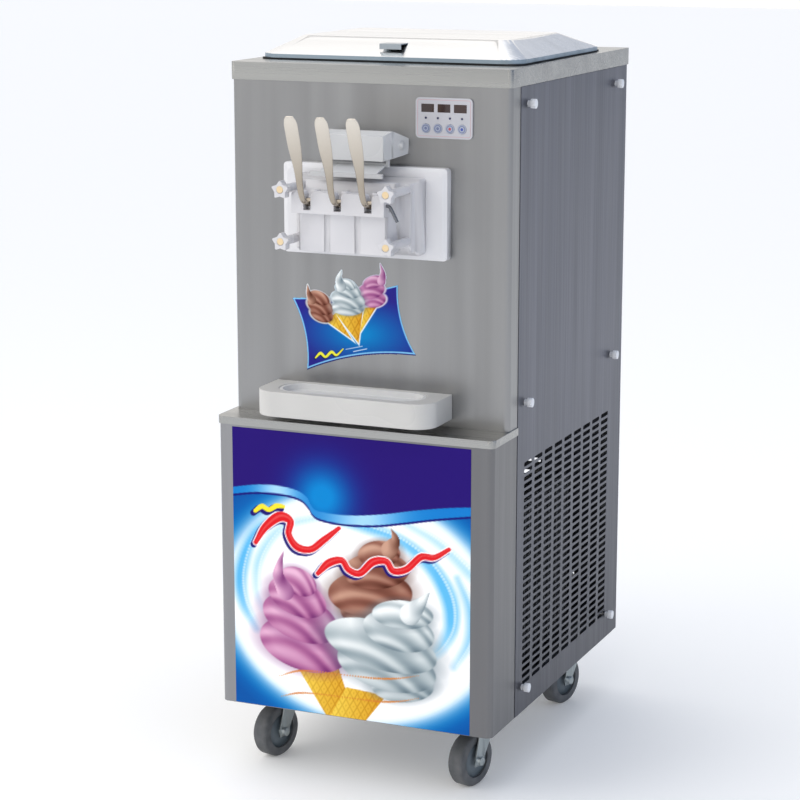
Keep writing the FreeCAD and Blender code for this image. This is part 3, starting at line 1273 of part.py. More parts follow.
# Every object has to be sound before any file is written.
for thing in doc.Objects:
    if {"Invalid", "Error"} & set(thing.State):
        raise RuntimeError(f"{thing.Name} ({thing.Label}) did not build: {thing.State}")
for name, solid in nodes.items():
    if solid.Shape.isNull() or not solid.Shape.isValid() or not solid.Shape.Solids:
        raise RuntimeError(name + " has no sound solid")

os.makedirs("parts", exist_ok=True)
for name, solid in nodes.items():
    solid.Shape.exportStep(f"parts/{name}.step")
print(len(nodes), "nodes written")
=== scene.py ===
import json
import math

import bmesh
import bpy
import numpy as np
from mathutils import Matrix, Vector

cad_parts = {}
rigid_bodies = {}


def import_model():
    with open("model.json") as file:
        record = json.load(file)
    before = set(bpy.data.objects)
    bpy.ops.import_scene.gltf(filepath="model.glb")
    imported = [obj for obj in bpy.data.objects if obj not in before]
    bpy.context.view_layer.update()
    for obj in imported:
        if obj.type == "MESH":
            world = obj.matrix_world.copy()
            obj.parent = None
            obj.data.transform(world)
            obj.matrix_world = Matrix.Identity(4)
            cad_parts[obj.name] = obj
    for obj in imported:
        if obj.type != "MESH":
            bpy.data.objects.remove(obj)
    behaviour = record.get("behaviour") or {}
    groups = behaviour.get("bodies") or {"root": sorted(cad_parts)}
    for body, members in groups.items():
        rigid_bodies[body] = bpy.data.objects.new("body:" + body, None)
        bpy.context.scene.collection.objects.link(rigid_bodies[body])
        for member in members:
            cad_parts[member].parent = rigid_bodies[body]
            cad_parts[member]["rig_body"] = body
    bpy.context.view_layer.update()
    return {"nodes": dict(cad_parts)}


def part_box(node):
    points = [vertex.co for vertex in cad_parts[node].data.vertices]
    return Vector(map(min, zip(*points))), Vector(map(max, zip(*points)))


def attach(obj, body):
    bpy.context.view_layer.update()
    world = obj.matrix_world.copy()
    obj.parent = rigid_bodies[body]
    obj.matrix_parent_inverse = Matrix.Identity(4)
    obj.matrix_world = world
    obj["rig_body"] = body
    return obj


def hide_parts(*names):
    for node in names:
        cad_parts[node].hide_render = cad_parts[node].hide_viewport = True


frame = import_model()
scene = bpy.context.scene


# The cabinet's skin: folded 1.2 mm stainless sheet over a welded tube frame. The front and the
# sides are brushed up and down and left satin. The sides are coloured darker than the front as
# painted shade, and painted shade darkens them towards the floor and the lower front towards its
# right edge. The step and the top band are brushed lengthways and a little smoother, and their
# steel is coloured lighter than the front's as painted light.

def tone(red, green, blue):
    """A display colour of 0 to 255 a channel, as the shader takes it."""
    return tuple((c / 255) ** 2.2 for c in (red, green, blue)) + (1.0,)


def finish(name, colour, **sockets):
    """A new material, with what is the same all over set on the shader's own sockets."""
    made = bpy.data.materials.new(name)
    made.use_nodes = True
    shader = made.node_tree.nodes["Principled BSDF"]
    shader.inputs["Base Color"].default_value = colour
    for socket, value in sockets.items():
        shader.inputs[socket.replace("_", " ")].default_value = value
    return made


def mottle(made, size, drawn=(1, 1, 1), detail=4.0):
    """Noise fixed to the piece, about that many metres across and drawn out along its axes."""
    nodes, link = made.node_tree.nodes, made.node_tree.links.new
    place = nodes.new("ShaderNodeTexCoord")
    stretch = nodes.new("ShaderNodeMapping")
    stretch.inputs["Scale"].default_value = [1 / d for d in drawn]
    noise = nodes.new("ShaderNodeTexNoise")
    noise.inputs["Scale"].default_value = 1 / size
    noise.inputs["Detail"].default_value = detail
    link(place.outputs["Object"], stretch.inputs["Vector"])
    link(stretch.outputs["Vector"], noise.inputs["Vector"])
    spread = nodes.new("ShaderNodeMapRange")
    spread.inputs["From Min"].default_value = 0.3
    spread.inputs["From Max"].default_value = 0.7
    link(noise.outputs["Fac"], spread.inputs["Value"])
    return spread.outputs["Result"]


def vary(made, pattern, socket, low, high):
    """Run one of the shader's sockets from low to high as the pattern goes from 0 to 1."""
    nodes, link = made.node_tree.nodes, made.node_tree.links.new
    shader = nodes["Principled BSDF"]
    if isinstance(low, tuple):
        blend = nodes.new("ShaderNodeMix")
        blend.data_type = "RGBA"
        blend.inputs[6].default_value, blend.inputs[7].default_value = low, high
        link(pattern, blend.inputs["Factor"])
        link(blend.outputs[2], shader.inputs[socket])
        return
    run = nodes.new("ShaderNodeMapRange")
    run.inputs["To Min"].default_value, run.inputs["To Max"].default_value = low, high
    link(pattern, run.inputs["Value"])
    link(run.outputs["Result"], shader.inputs[socket])


def reach(made, axis, start, end):
    """A pattern that goes from 0 to 1 as the piece's own X, Y or Z goes from start to end."""
    nodes, link = made.node_tree.nodes, made.node_tree.links.new
    place = nodes.new("ShaderNodeTexCoord")
    parts = nodes.new("ShaderNodeSeparateXYZ")
    link(place.outputs["Object"], parts.inputs["Vector"])
    run = nodes.new("ShaderNodeMapRange")
    run.inputs["From Min"].default_value = start
    run.inputs["From Max"].default_value = end
    link(parts.outputs[axis], run.inputs["Value"])
    return run.outputs["Result"]


def shaded(made, pattern, dark):
    """Paint shade: darken what colours the piece to the share dark where the pattern is 0."""
    nodes, link = made.node_tree.nodes, made.node_tree.links.new
    base = nodes["Principled BSDF"].inputs["Base Color"]
    fade = nodes.new("ShaderNodeMapRange")
    fade.inputs["To Min"].default_value = dark
    link(pattern, fade.inputs["Value"])
    times = nodes.new("ShaderNodeVectorMath")
    times.operation = "SCALE"
    link(base.links[0].from_socket, times.inputs[0])
    link(fade.outputs["Result"], times.inputs["Scale"])
    link(times.outputs["Vector"], base)
    return made


EDGE_EASED = 0.0007


def relief(made, pattern, depth):
    """Press the pattern into the surface by that many metres, over slightly eased edges."""
    nodes, link = made.node_tree.nodes, made.node_tree.links.new
    ease = nodes.new("ShaderNodeBevel")
    ease.samples = 4
    ease.inputs["Radius"].default_value = EDGE_EASED
    bump = nodes.new("ShaderNodeBump")
    bump.inputs["Distance"].default_value = depth
    link(ease.outputs["Normal"], bump.inputs["Normal"])
    link(pattern, bump.inputs["Height"])
    link(bump.outputs["Normal"], nodes["Principled BSDF"].inputs["Normal"])


BAND_WIDE = 0.045
BAND_DRAWN = 0.7
STREAK_WIDE = 0.004
STREAK_DEEP = 0.000004


def brushed(name, dark, light, drawn, low=0.3, high=0.38):
    """Brushed stainless: soft broad bands and fine streaks, both drawn out one way."""
    made = finish(name, light, Metallic=1.0, Anisotropic=0.4)
    band = mottle(made, BAND_WIDE, [d ** BAND_DRAWN for d in drawn], 1.5)
    vary(made, band, "Base Color", dark, light)
    streak = mottle(made, STREAK_WIDE, drawn, 1.5)
    vary(made, streak, "Roughness", low, high)
    relief(made, streak, STREAK_DEEP)
    return made


def piece_of(name, shape, made):
    """Make the shape a piece of one material, and let the shape go."""
    data = bpy.data.meshes.new(name)
    shape.to_mesh(data)
    shape.free()
    data.materials.clear()
    data.materials.append(made)
    piece = bpy.data.objects.new(name, data)
    scene.collection.objects.link(piece)
    return piece


JOINED = 0.00001
FLAT = math.radians(1)
SHARP = math.radians(32)


def eased(made, *names, width=0.0):
    """Stand joined copies in for CAD nodes, smooth where they curve, with their edges rounded."""
    copies = []
    for name in names:
        source = frame["nodes"][name]
        shape = bmesh.new()
        shape.from_mesh(source.data)
        bmesh.ops.remove_doubles(shape, verts=shape.verts, dist=JOINED)
        if width:
            bmesh.ops.dissolve_limit(shape, angle_limit=FLAT, verts=shape.verts, edges=shape.edges)
        piece = piece_of(name + "_skin", shape, made)
        piece.data.shade_smooth()
        piece.data.set_sharp_from_angle(angle=SHARP)
        if width:
            rounding = piece.modifiers.new("rounding", "BEVEL")
            rounding.width = width
            rounding.segments = 3
            rounding.limit_method = "ANGLE"
            rounding.angle_limit = SHARP
            rounding.harden_normals = True
        else:
            weighted = piece.modifiers.new("weighted", "WEIGHTED_NORMAL")
            weighted.keep_sharp = True
        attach(piece, source["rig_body"])
        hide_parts(name)
        copies.append(piece)
    return copies


UP = (1, 1, 90)
ACROSS = (120, 1, 1)
LOWER_SHADE_FADE = (0.27, -0.2)
LOWER_PAINTED_SHADE = 0.62
SIDE_SHADE_FADE = (0.14, 0.75)
SIDE_PAINTED_SHADE = 0.6
eased(brushed("front_satin", tone(142, 142, 142), tone(155, 155, 155), UP), "upper_front_panel")
# Painted shade: the lower front darkens towards its right edge.
lower_satin_painted_shade = brushed("lower_satin_painted_shade", tone(140, 140, 142), tone(150, 150, 152), UP)
eased(shaded(lower_satin_painted_shade, reach(lower_satin_painted_shade, "X", *LOWER_SHADE_FADE), LOWER_PAINTED_SHADE), "lower_front_panel")
# Painted shade: the sides and back are coloured darker than the front, and darker still towards the
# floor.
side_satin_painted_shade = brushed("side_satin_painted_shade", tone(104, 106, 114), tone(113, 115, 124), UP, 0.34, 0.44)
eased(shaded(side_satin_painted_shade, reach(side_satin_painted_shade, "Z", *SIDE_SHADE_FADE), SIDE_PAINTED_SHADE),
      "side_panel_left", "side_panel_right", "rear_panel")
# Painted light: the top band and step are a lighter copy of the cabinet's steel.
eased(brushed("trim_satin_painted_light", tone(157, 157, 155), tone(171, 171, 168), ACROSS, 0.24, 0.36),
      "top_cover", "step_shelf")


# Twelve thumb screws hold the side panels, white nylon heads on long collars.
# The heads are moulded, so they have a faint orange-peel skin.

PEEL_WIDE = 0.0015
PEEL_DEEP = 0.000008


def moulded(name, dark, light, low=0.28, high=0.4, **sockets):
    """Moulded plastic: a slight cloud in the colour and a fine orange-peel skin."""
    made = finish(name, light, IOR=1.49, **sockets)
    vary(made, mottle(made, 0.09, detail=1.0), "Base Color", dark, light)
    vary(made, mottle(made, 0.15, detail=1.0), "Roughness", low, high)
    relief(made, mottle(made, PEEL_WIDE, detail=1.0), PEEL_DEEP)
    return made


eased(moulded("screw_nylon", tone(226, 228, 232), tone(240, 241, 244)), "thumb_screws")


# The poster on the lower panel: one sheet of laminated film, printed with three soft serves
# before a blue and white swirl under an indigo header. A red brush wave stands where such
# posters have their words. The ink is held at the sheet's own points, about 1.8 mm apart.

POSTER_CELL = 0.00178
FILM_THICK = 0.0003


def film_sheet(wide, high, pitch):
    """A sheet of film facing the front, made of small cells, before it is put in place."""
    film = bmesh.new()
    bmesh.ops.create_grid(film, x_segments=round(wide / pitch), y_segments=round(high / pitch),
                          size=0.5)
    bmesh.ops.transform(film, verts=film.verts, matrix=Matrix.Rotation(math.pi / 2, 4, "X")
                        @ Matrix.Diagonal((wide, high, 1, 1)))
    return film


def give_thickness(film):
    """Turn the film's cut edge back towards the panel."""
    edge = bmesh.ops.extrude_edge_only(film, edges=[e for e in film.edges if e.is_boundary])
    rim = [v for v in edge["geom"] if isinstance(v, bmesh.types.BMVert)]
    bmesh.ops.translate(film, verts=rim, vec=(0, FILM_THICK, 0))


def printed(name, film, inks, made):
    """Make the film a piece, with its inks in a colour attribute."""
    piece = piece_of(name, film, made)
    data = piece.data
    place = np.empty(len(data.vertices) * 3, np.float32)
    data.vertices.foreach_get("co", place)
    place = place.reshape(-1, 3) * 1000
    ink = data.color_attributes.new("ink", "FLOAT_COLOR", "POINT")
    colours = np.ones((len(place), 4), np.float32)
    colours[:, :3] = (np.clip(inks(place[:, 0], place[:, 2]), 0, 255) / 255) ** 2.2
    ink.data.foreach_set("color", colours.ravel())
    return piece


def laminated(name):
    """Printed film under a clear laminate, with a faint ripple where it was smoothed down."""
    made = finish(name, tone(255, 255, 255), Coat_Weight=0.05, Coat_Roughness=0.15,
                  Specular_IOR_Level=0.08)
    nodes, link = made.node_tree.nodes, made.node_tree.links.new
    ink = nodes.new("ShaderNodeAttribute")
    ink.attribute_name = "ink"
    link(ink.outputs["Color"], nodes["Principled BSDF"].inputs["Base Color"])
    vary(made, mottle(made, 0.04), "Roughness", 0.4, 0.52)
    relief(made, mottle(made, 0.06, detail=1.0), 0.00008)
    return made


def cover(inside, soft=1.4):
    """How much of a point's ink a shape takes, from how far inside the shape it is."""
    return np.clip(inside / soft + 0.5, 0.0, 1.0)


def lay(ink, share, colour):
    """Lay a colour over the ink where share is 1, and none of it where share is 0."""
    ink += (np.asarray(colour, float) - ink) * share[:, None]


def smooth_line(points):
    """Points close together on a smooth line through the given ones, with their half widths."""
    given = np.array(points, float)
    ends = np.vstack([2 * given[0] - given[1], given, 2 * given[-1] - given[-2]])
    along = np.linspace(0, len(given) - 1, 10 * len(given))
    start = np.minimum(along.astype(int), len(given) - 2)
    part = (along - start)[:, None]
    a, b, c, d = (ends[start + n] for n in range(4))
    return 0.5 * (2 * b + (c - a) * part + (2 * a - 5 * b + 4 * c - d) * part ** 2
                  + (3 * b - a - 3 * c + d) * part ** 3)


def brush(x, z, points, grow=0.0):
    """How far inside a brush stroke each point lies, for a stroke of changing width."""
    inside = np.full(x.shape, -1000.0)
    for px, pz, half in smooth_line(points):
        inside = np.maximum(inside, max(half, 0.2) + grow - np.hypot(x - px, z - pz))
    return inside


def facet(x, z, corners):
    """How far inside a flat shape each point lies, for corners given clockwise."""
    inside = np.full(x.shape, 1000.0)
    for (ax, az), (bx, bz) in zip(corners, corners[1:] + corners[:1]):
        run = math.hypot(bx - ax, bz - az)
        inside = np.minimum(inside, ((bz - az) * (x - ax) - (bx - ax) * (z - az)) / run)
    return inside


def serve(ink, x, z, layers, tail, shades, turns=9.0):
    """Paint a soft serve: its layers from the lowest up, each a ridged bulge, then its tip."""
    dark, middle, light = (np.array(shade, float) for shade in shades)
    for number, (cx, cz, wide, high, lean) in enumerate(layers):
        c, s = math.cos(math.radians(lean)), math.sin(math.radians(lean))
        u = ((x - cx) * c + (z - cz) * s) / wide
        v = ((z - cz) * c - (x - cx) * s) / high
        r = np.hypot(u, v)
        lay(ink, cover((1.1 - r) * high, high * 0.5) * 0.45, dark)
        wave = turns * (v * 0.75 + 0.42 * u + 0.55 * u * u) + 1.9 * number
        ridge = 0.5 + 0.5 * np.sin(wave + 0.8 * np.sin(wave * 0.5))
        lit = np.clip(0.62 - 0.3 * u + 0.42 * v, 0, 1)
        shade = np.clip(0.12 + 0.52 * lit + 0.42 * ridge - 0.55 * np.clip(r - 0.72, 0, 1), 0, 1)
        low = dark + (middle - dark) * (2 * shade)[:, None]
        high_tone = middle + (light - middle) * (2 * shade - 1)[:, None]
        lay(ink, cover((1 - r) * min(wide, high)), np.where((shade < 0.5)[:, None], low, high_tone))
    tip = smooth_line(tail)
    for n, (px, pz, half) in enumerate(tip):
        side = (x - px) / max(half, 0.2)
        shade = np.clip(0.6 - 0.35 * side + 0.15 * math.sin(n * 0.35), 0, 1)[:, None]
        lay(ink, cover(max(half, 0.2) - np.hypot(x - px, z - pz)), dark + (light - dark) * shade)


def wafer(ink, x, z, corners):
    """Paint a wafer cone: golden, browner at its right, with a pressed lattice."""
    inside = cover(facet(x, z, corners))
    lattice = np.maximum(np.sin((x + 0.55 * z) * 0.42), np.sin((x - 0.6 * z) * 0.42)) ** 6
    left = min(c[0] for c in corners)
    across = np.clip((x - left) / (max(c[0] for c in corners) - left), 0, 1)
    golden, brown, pressed = (np.array(c) for c in ((246, 214, 84), (214, 150, 36), (26, 32, 18)))
    base = golden + (brown - golden) * across[:, None]
    lay(ink, inside, base - (pressed * lattice[:, None]))


PINK = ((112, 44, 104), (178, 108, 154), (234, 184, 212))
COCOA = ((74, 36, 26), (138, 88, 74), (202, 156, 134))
VANILLA = ((98, 116, 126), (174, 186, 190), (248, 251, 250))


def poster_ink(x, z):
    """The poster's ink at points given in millimetres across and up."""
    ink = np.full((len(x), 3), 255.0)
    swirls = (
        ((-150, 507, 4), (-200, 462, 9), (-227, 390, 12), (-223, 330, 10), (-196, 282, 5)),
        ((-60, 510, 3), (-140, 482, 6), (-188, 420, 8), (-196, 360, 6), (-184, 322, 3)),
        ((-50, 509, 3), (20, 499, 8), (92, 481, 10), (152, 440, 13), (188, 385, 15),
         (192, 330, 12), (168, 285, 8), (136, 262, 4)),
        ((104, 514, 4), (168, 484, 7), (234, 430, 10)),
        ((204, 424, 4), (227, 370, 8), (226, 310, 7), (198, 258, 4)))
    tints = ((92, 182, 234), (170, 219, 245), (96, 186, 236), (180, 224, 244), (140, 204, 238))
    for line, tint in zip(swirls, tints):
        lay(ink, cover(brush(x, z, line), 15.0), tint)
        lay(ink, cover(brush(x, z, [(px + 6, pz + 4, half * 0.2) for px, pz, half in line]), 3.0) * 0.6,
            (255, 255, 255))
    outer = np.clip((np.hypot((x - 10) / 262, (z - 345) / 212) - 0.97) / 0.45, 0, 1)
    lay(ink, np.clip(outer * 3, 0, 1), (150, 205, 240))
    lay(ink, np.clip(outer * 2.4 - 0.2, 0, 1), (6, 118, 196))
    lay(ink, np.clip(outer * 1.9 - 0.25, 0, 1), (0, 84, 162))

    for cx, cz, wide, high in ((-104, 300, 118, 112), (40, 390, 108, 92), (62, 262, 138, 100)):
        lay(ink, np.clip(1.35 - np.hypot((x - cx) / wide, (z - cz) / high) * 1.1, 0, 1), (255, 255, 255))
    wafer(ink, x, z, [(-116, 222), (-38, 250), (6, 130), (-52, 127)])
    serve(ink, x, z, ((20, 345, 46, 32, 12), (34, 376, 84, 43, 8), (46, 420, 66, 34, 10),
                      (52, 452, 42, 25, 12)),
          ((72, 462, 16), (84, 482, 8), (76, 502, 0.4)), COCOA)
    serve(ink, x, z, ((-100, 262, 90, 50, -8), (-106, 312, 78, 44, -12), (-112, 352, 60, 36, -15),
                      (-110, 382, 38, 26, -18)),
          ((-136, 360, 17), (-150, 388, 11), (-147, 412, 6), (-139, 437, 0.4)), PINK)
    wafer(ink, x, z, [(-14, 192), (66, 186), (20, 126), (-50, 125)])
    serve(ink, x, z, ((98, 208, 62, 30, 8), (66, 242, 98, 46, -6), (54, 280, 112, 46, -8),
                      (90, 312, 70, 38, -5), (98, 344, 60, 27, 4)),
          ((112, 346, 20), (132, 368, 11), (151, 392, 0.4)), VANILLA)

    for line in (((-150, 195, 0.6), (-115, 209, 1.9), (-77, 214, 1.4), (-9, 215, 1.4),
                  (50, 217, 2.0), (92, 223, 1.5), (129, 233, 0.5)),
                 ((-147, 156, 0.6), (-112, 167, 1.9), (-69, 171, 1.4), (-9, 172, 1.4),
                  (50, 173, 2.0), (92, 179, 1.5), (129, 190, 0.5))):
        lay(ink, cover(brush(x, z, line)), (212, 126, 54))

    top = smooth_line(((-246, 547, 0), (-192, 557, 0), (-149, 559, 0), (-111, 554, 0), (-91, 543, 0),
                       (-82, 528, 0), (-66, 519, 0), (-6, 518, 0), (60, 527, 0), (121, 540, 0),
                       (182, 551, 0), (236, 558, 0)))
    low = smooth_line(((-246, 534, 0), (-192, 543, 0), (-137, 544, 0), (-104, 538, 0), (-88, 525, 0),
                       (-80, 513, 0), (-64, 505, 0), (-20, 501, 0), (43, 505, 0), (101, 516, 0),
                       (162, 529, 0), (236, 542, 0)))
    above = z - np.interp(x, top[:, 0], top[:, 1])
    below = z - np.interp(x, low[:, 0], low[:, 1])
    for line, colour in (
            (((-196, 447, 3), (-176, 478, 6), (-147, 501, 8), (-125, 495, 6), (-128, 470, 5),
              (-112, 448, 6), (-84, 446, 5), (-58, 466, 5), (-27, 492, 2.5)), (222, 30, 38)),
            (((-70, 402, 3), (-48, 424, 6), (-22, 432, 5), (-8, 416, 5), (14, 412, 5), (40, 436, 6),
              (66, 440, 5), (80, 424, 5), (106, 430, 5), (134, 456, 5), (160, 458, 4),
              (188, 476, 2.5)), (222, 30, 38)),
            (((-196, 507, 2.5), (-182, 517, 3.6), (-168, 512, 3.2), (-152, 521, 3.6),
              (-138, 521, 2.2)), (250, 232, 46))):
        lay(ink, cover(brush(x + 4.5, z + 4.5, line, 3.2)), (34, 24, 110))
        if colour[1] < 100:
            lay(ink, cover(brush(x, z, line, 3.2)), (255, 252, 252))
        lay(ink, cover(brush(x, z, line, 1.2)), colour)
        lay(ink, cover(brush(x - 1.5, z - 1.8, [(px, pz, half * 0.3) for px, pz, half in line]), 3.0)
            * 0.3, (255, 190, 170))
    lay(ink, cover(below + 4.0), (28, 20, 112))
    shine = np.exp(-((x + 150) / 42) ** 2) + np.exp(-((x - 22) / 70) ** 2)
    ribbon = np.array((22, 122, 202)) + np.array((140, 92, 46)) * np.clip(shine, 0, 1)[:, None]
    lay(ink, cover(below), ribbon)
    glow = np.clip(np.exp(-(np.hypot(x + 60, z - 547) / 58) ** 2) * 1.1, 0, 1)[:, None]
    indigo, azure = np.array((41, 20, 112)), np.array((0, 132, 206))
    header = indigo + (azure - indigo) * glow
    lay(ink, cover(above), header)
    return ink


low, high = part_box("front_poster")
film = film_sheet(high.x - low.x, high.z - low.z, POSTER_CELL)
bmesh.ops.translate(film, verts=film.verts, vec=((low.x + high.x) / 2, low.y, (low.z + high.z) / 2))
give_thickness(film)
poster = printed("poster_film", film, poster_ink, laminated("poster_laminate"))
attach(poster, "cabinet")
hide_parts("front_poster")


# The decal below the door: a cut-out of the same film, a blue field with hollow sides and three
# small cones that stand over its top edge.

def decal_field(x, z):
    """How far inside the decal's blue field each point lies."""
    inside = np.full(x.shape, 1000.0)
    for (ax, az), (mx, mz), (bx, bz) in (((-153, 895), (-46, 907), (58, 932)),
                                         ((58, 932), (64, 870), (94, 805)),
                                         ((94, 805), (-15, 797), (-124, 762)),
                                         ((-124, 762), (-128, 833), (-153, 895))):
        run = math.hypot(bx - ax, bz - az)
        along = ((bx - ax) * (x - ax) + (bz - az) * (z - az)) / run
        away = ((bz - az) * (x - ax) - (bx - ax) * (z - az)) / run
        bow = ((bz - az) * (mx - ax) - (bx - ax) * (mz - az)) / run
        inside = np.minimum(inside, away - 4 * bow * along / run * (1 - along / run))
    return inside


SMALL_SERVES = (
    ([(-84, 856), (-66, 872), (-33, 826)], ((-93, 868, 23, 14, -14), (-96, 883, 26, 15, -16),
                                            (-98, 898, 21, 12, -18)),
     ((-112, 893, 8), (-119, 906, 4), (-121, 921, 0.3)), COCOA),
    ([(-8, 886), (16, 890), (-18, 838)], ((12, 901, 22, 13, 14), (5, 918, 27, 15, 16),
                                          (10, 934, 20, 11, 18)),
     ((25, 936, 8), (28, 950, 4.5), (23, 968, 0.3)), PINK),
    ([(-66, 872), (-11, 884), (-20, 820)], ((-40, 884, 32, 15, 4), (-40, 899, 33, 17, -6),
                                            (-40, 916, 25, 14, -12), (-40, 926, 15, 9, -14)),
     ((-54, 922, 10), (-58, 936, 5), (-53, 951, 0.3)), VANILLA))


def serves_reach(x, z):
    """How far inside the three small cones' common outline each point lies."""
    inside = np.full(x.shape, -1000.0)
    for cone, layers, tail, _ in SMALL_SERVES:
        inside = np.maximum(np.maximum(inside, facet(x, z, cone)), brush(x, z, tail))
        for cx, cz, wide, high, lean in layers:
            c, s = math.cos(math.radians(lean)), math.sin(math.radians(lean))
            r = np.hypot(((x - cx) * c + (z - cz) * s) / wide, ((z - cz) * c - (x - cx) * s) / high)
            inside = np.maximum(inside, (1 - r) * min(wide, high))
    return inside


def decal_ink(x, z):
    """The decal's ink at points given in millimetres across and up."""
    ink = np.tile((34.0, 26.0, 112.0), (len(x), 1))
    lay(ink, cover(decal_field(x + 0.4, z - 2.4) - 0.2, 1.0), (128, 196, 240))
    blue = np.clip(1.15 - np.hypot((x + 18) / 118, (z - 838) / 62), 0, 1)[:, None]
    violet, azure = np.array((44, 40, 134)), np.array((10, 128, 196))
    field = violet + (azure - violet) * blue
    lay(ink, cover(np.minimum(decal_field(x, z), decal_field(x + 0.4, z - 2.4)) - 3.0, 1.2), field)
    lay(ink, cover(serves_reach(x, z) + 2.4, 2.0), (236, 246, 250))
    for cone, layers, tail, shades in SMALL_SERVES:
        wafer(ink, x, z, cone)
        serve(ink, x, z, layers, tail, shades, 8.0)
    wave = ((-106, 787, 1.4), (-96, 796, 2.6), (-86, 790, 2.2), (-74, 800, 2.6), (-64, 795, 2.0),
            (-51, 807, 1.2))
    lay(ink, cover(brush(x + 1.2, z + 1.2, wave, 0.8), 0.9), (20, 44, 60))
    lay(ink, cover(brush(x, z, wave), 0.9), (244, 238, 70))
    for line in (((-45, 807, 0.7), (-13, 815, 0.7)), ((-30, 804, 0.8), (-4, 811, 0.8))):
        lay(ink, cover(brush(x, z, line), 0.8), (226, 240, 250))
    return ink


DECAL_CELL = 0.00085
DECAL_WIDE = 0.256
DECAL_HIGH = 0.222
DECAL_X = -0.029
DECAL_Z = 0.865
low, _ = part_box("front_sticker")
film = film_sheet(DECAL_WIDE, DECAL_HIGH, DECAL_CELL)
bmesh.ops.translate(film, verts=film.verts, vec=(DECAL_X, low.y, DECAL_Z))
spots = np.array([v.co for v in film.verts]) * 1000
kept = np.maximum(decal_field(spots[:, 0], spots[:, 2]), serves_reach(spots[:, 0], spots[:, 2]) + 2.0)
bmesh.ops.delete(film, geom=[v for v, k in zip(list(film.verts), kept) if k < 0], context="VERTS")
give_thickness(film)
decal = printed("decal_film", film, decal_ink, laminated("decal_laminate"))
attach(decal, "cabinet")
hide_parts("front_sticker")


# The machinery inside: a powder-coated tube frame and floor plate, a black hermetic compressor,
# a finned condenser with its fan, two gear motors, the freezing barrels with their beaters, the
# mix hoppers and the electrical box.

def coated(name, dark, light, low=0.4, high=0.6):
    """Paint or powder coat on steel, with a fine pebbled skin and a little dust."""
    made = finish(name, light)
    vary(made, mottle(made, 0.05), "Base Color", dark, light)
    vary(made, mottle(made, 0.02), "Roughness", low, high)
    relief(made, mottle(made, 0.0009, detail=2.0), 0.00006)
    return made


def dress(made, *names):
    """Give CAD nodes their finished material."""
    for name in names:
        for slot in frame["nodes"][name].material_slots:
            slot.material = made


dress(coated("frame_powder_coat", tone(92, 94, 98), tone(120, 122, 126)), "frame")
dress(coated("compressor_enamel", tone(22, 22, 24), tone(42, 42, 44), 0.25, 0.45), "compressor")
dress(coated("motor_enamel", tone(74, 92, 112), tone(96, 114, 134), 0.3, 0.5), "gear_motors")
dress(coated("fan_motor_enamel", tone(30, 30, 32), tone(50, 50, 54)), "fan_motor")
dress(coated("cord_grip_nylon", tone(24, 24, 25), tone(38, 38, 40), 0.35, 0.5), "cable_gland")
dress(brushed("mill_stainless", tone(150, 152, 155), tone(182, 184, 187), ACROSS, 0.3, 0.5),
      "floor_plate", "electrical_box", "tray_bracket")
eased(brushed("pressed_stainless", tone(218, 220, 222), tone(236, 237, 238), (1, 60, 1), 0.3, 0.4),
      "mix_hoppers", "freezing_cylinders", "door_studs")
dress(brushed("beater_stainless", tone(180, 181, 184), tone(206, 207, 210), (1, 60, 1), 0.2, 0.34),
      "beater_left", "beater_right")
# Painted shade: the condenser and its fan are coloured darker than bare aluminium, so the vents look
# dark.
dress(brushed("fin_aluminium_painted_shade", tone(88, 90, 93), tone(116, 118, 121), (1, 1, 40), 0.4, 0.6),
      "condenser", "condenser_fan")
eased(brushed("zinc_plate", tone(140, 148, 150), tone(176, 183, 184), (1, 1, 8), 0.3, 0.5),
      "caster_plates", "caster_fork_front_left", "caster_fork_front_right",
      "caster_fork_rear_left", "caster_fork_rear_right")


# The door and its surround: machined and moulded white acetal, bolted up with four star knobs.
# The levers hang on a steel rod through the bar.

white = moulded("door_acetal", tone(205, 204, 207), tone(212, 211, 214), 0.26, 0.36,
                Coat_Weight=0.1)
# Painted light: the surround is the door's acetal coloured lighter, against the shade it sits in.
eased(moulded("surround_acetal_painted_light", tone(214, 214, 217), tone(221, 221, 224), 0.26, 0.36,
              Coat_Weight=0.1), "door_surround")
eased(white, "dispensing_door", "plunger_left", "plunger_centre", "plunger_right",
      "star_knob_upper_left", "star_knob_upper_right", "star_knob_lower_left",
      "star_knob_lower_right")
eased(brushed("rod_steel", tone(104, 106, 110), tone(134, 136, 140), ACROSS, 0.22, 0.36),
      "lever_pivot_rod")


# The levers are cast, tumbled and polished: a warm grey over most of their length, with a painted
# highlight that brightens them towards their tips.

LEVER_PAINTED_HIGHLIGHT = (1.13, 1.245)
cast = finish("lever_cast_steel", tone(196, 182, 156), Metallic=1.0)
# Painted highlight: the colour lightens between these heights, up to the tips.
vary(cast, reach(cast, "Z", *LEVER_PAINTED_HIGHLIGHT), "Base Color", tone(168, 158, 144),
     tone(216, 209, 198))
vary(cast, mottle(cast, 0.012), "Roughness", 0.16, 0.26)
relief(cast, mottle(cast, 0.02, detail=1.0), 0.00003)
eased(cast, "lever_left", "lever_centre", "lever_right")


# The star knobs carry a pressed-in cream cap over the end of the stud.
# Each cap stands a fraction of a millimetre out of its knob and turns with it.

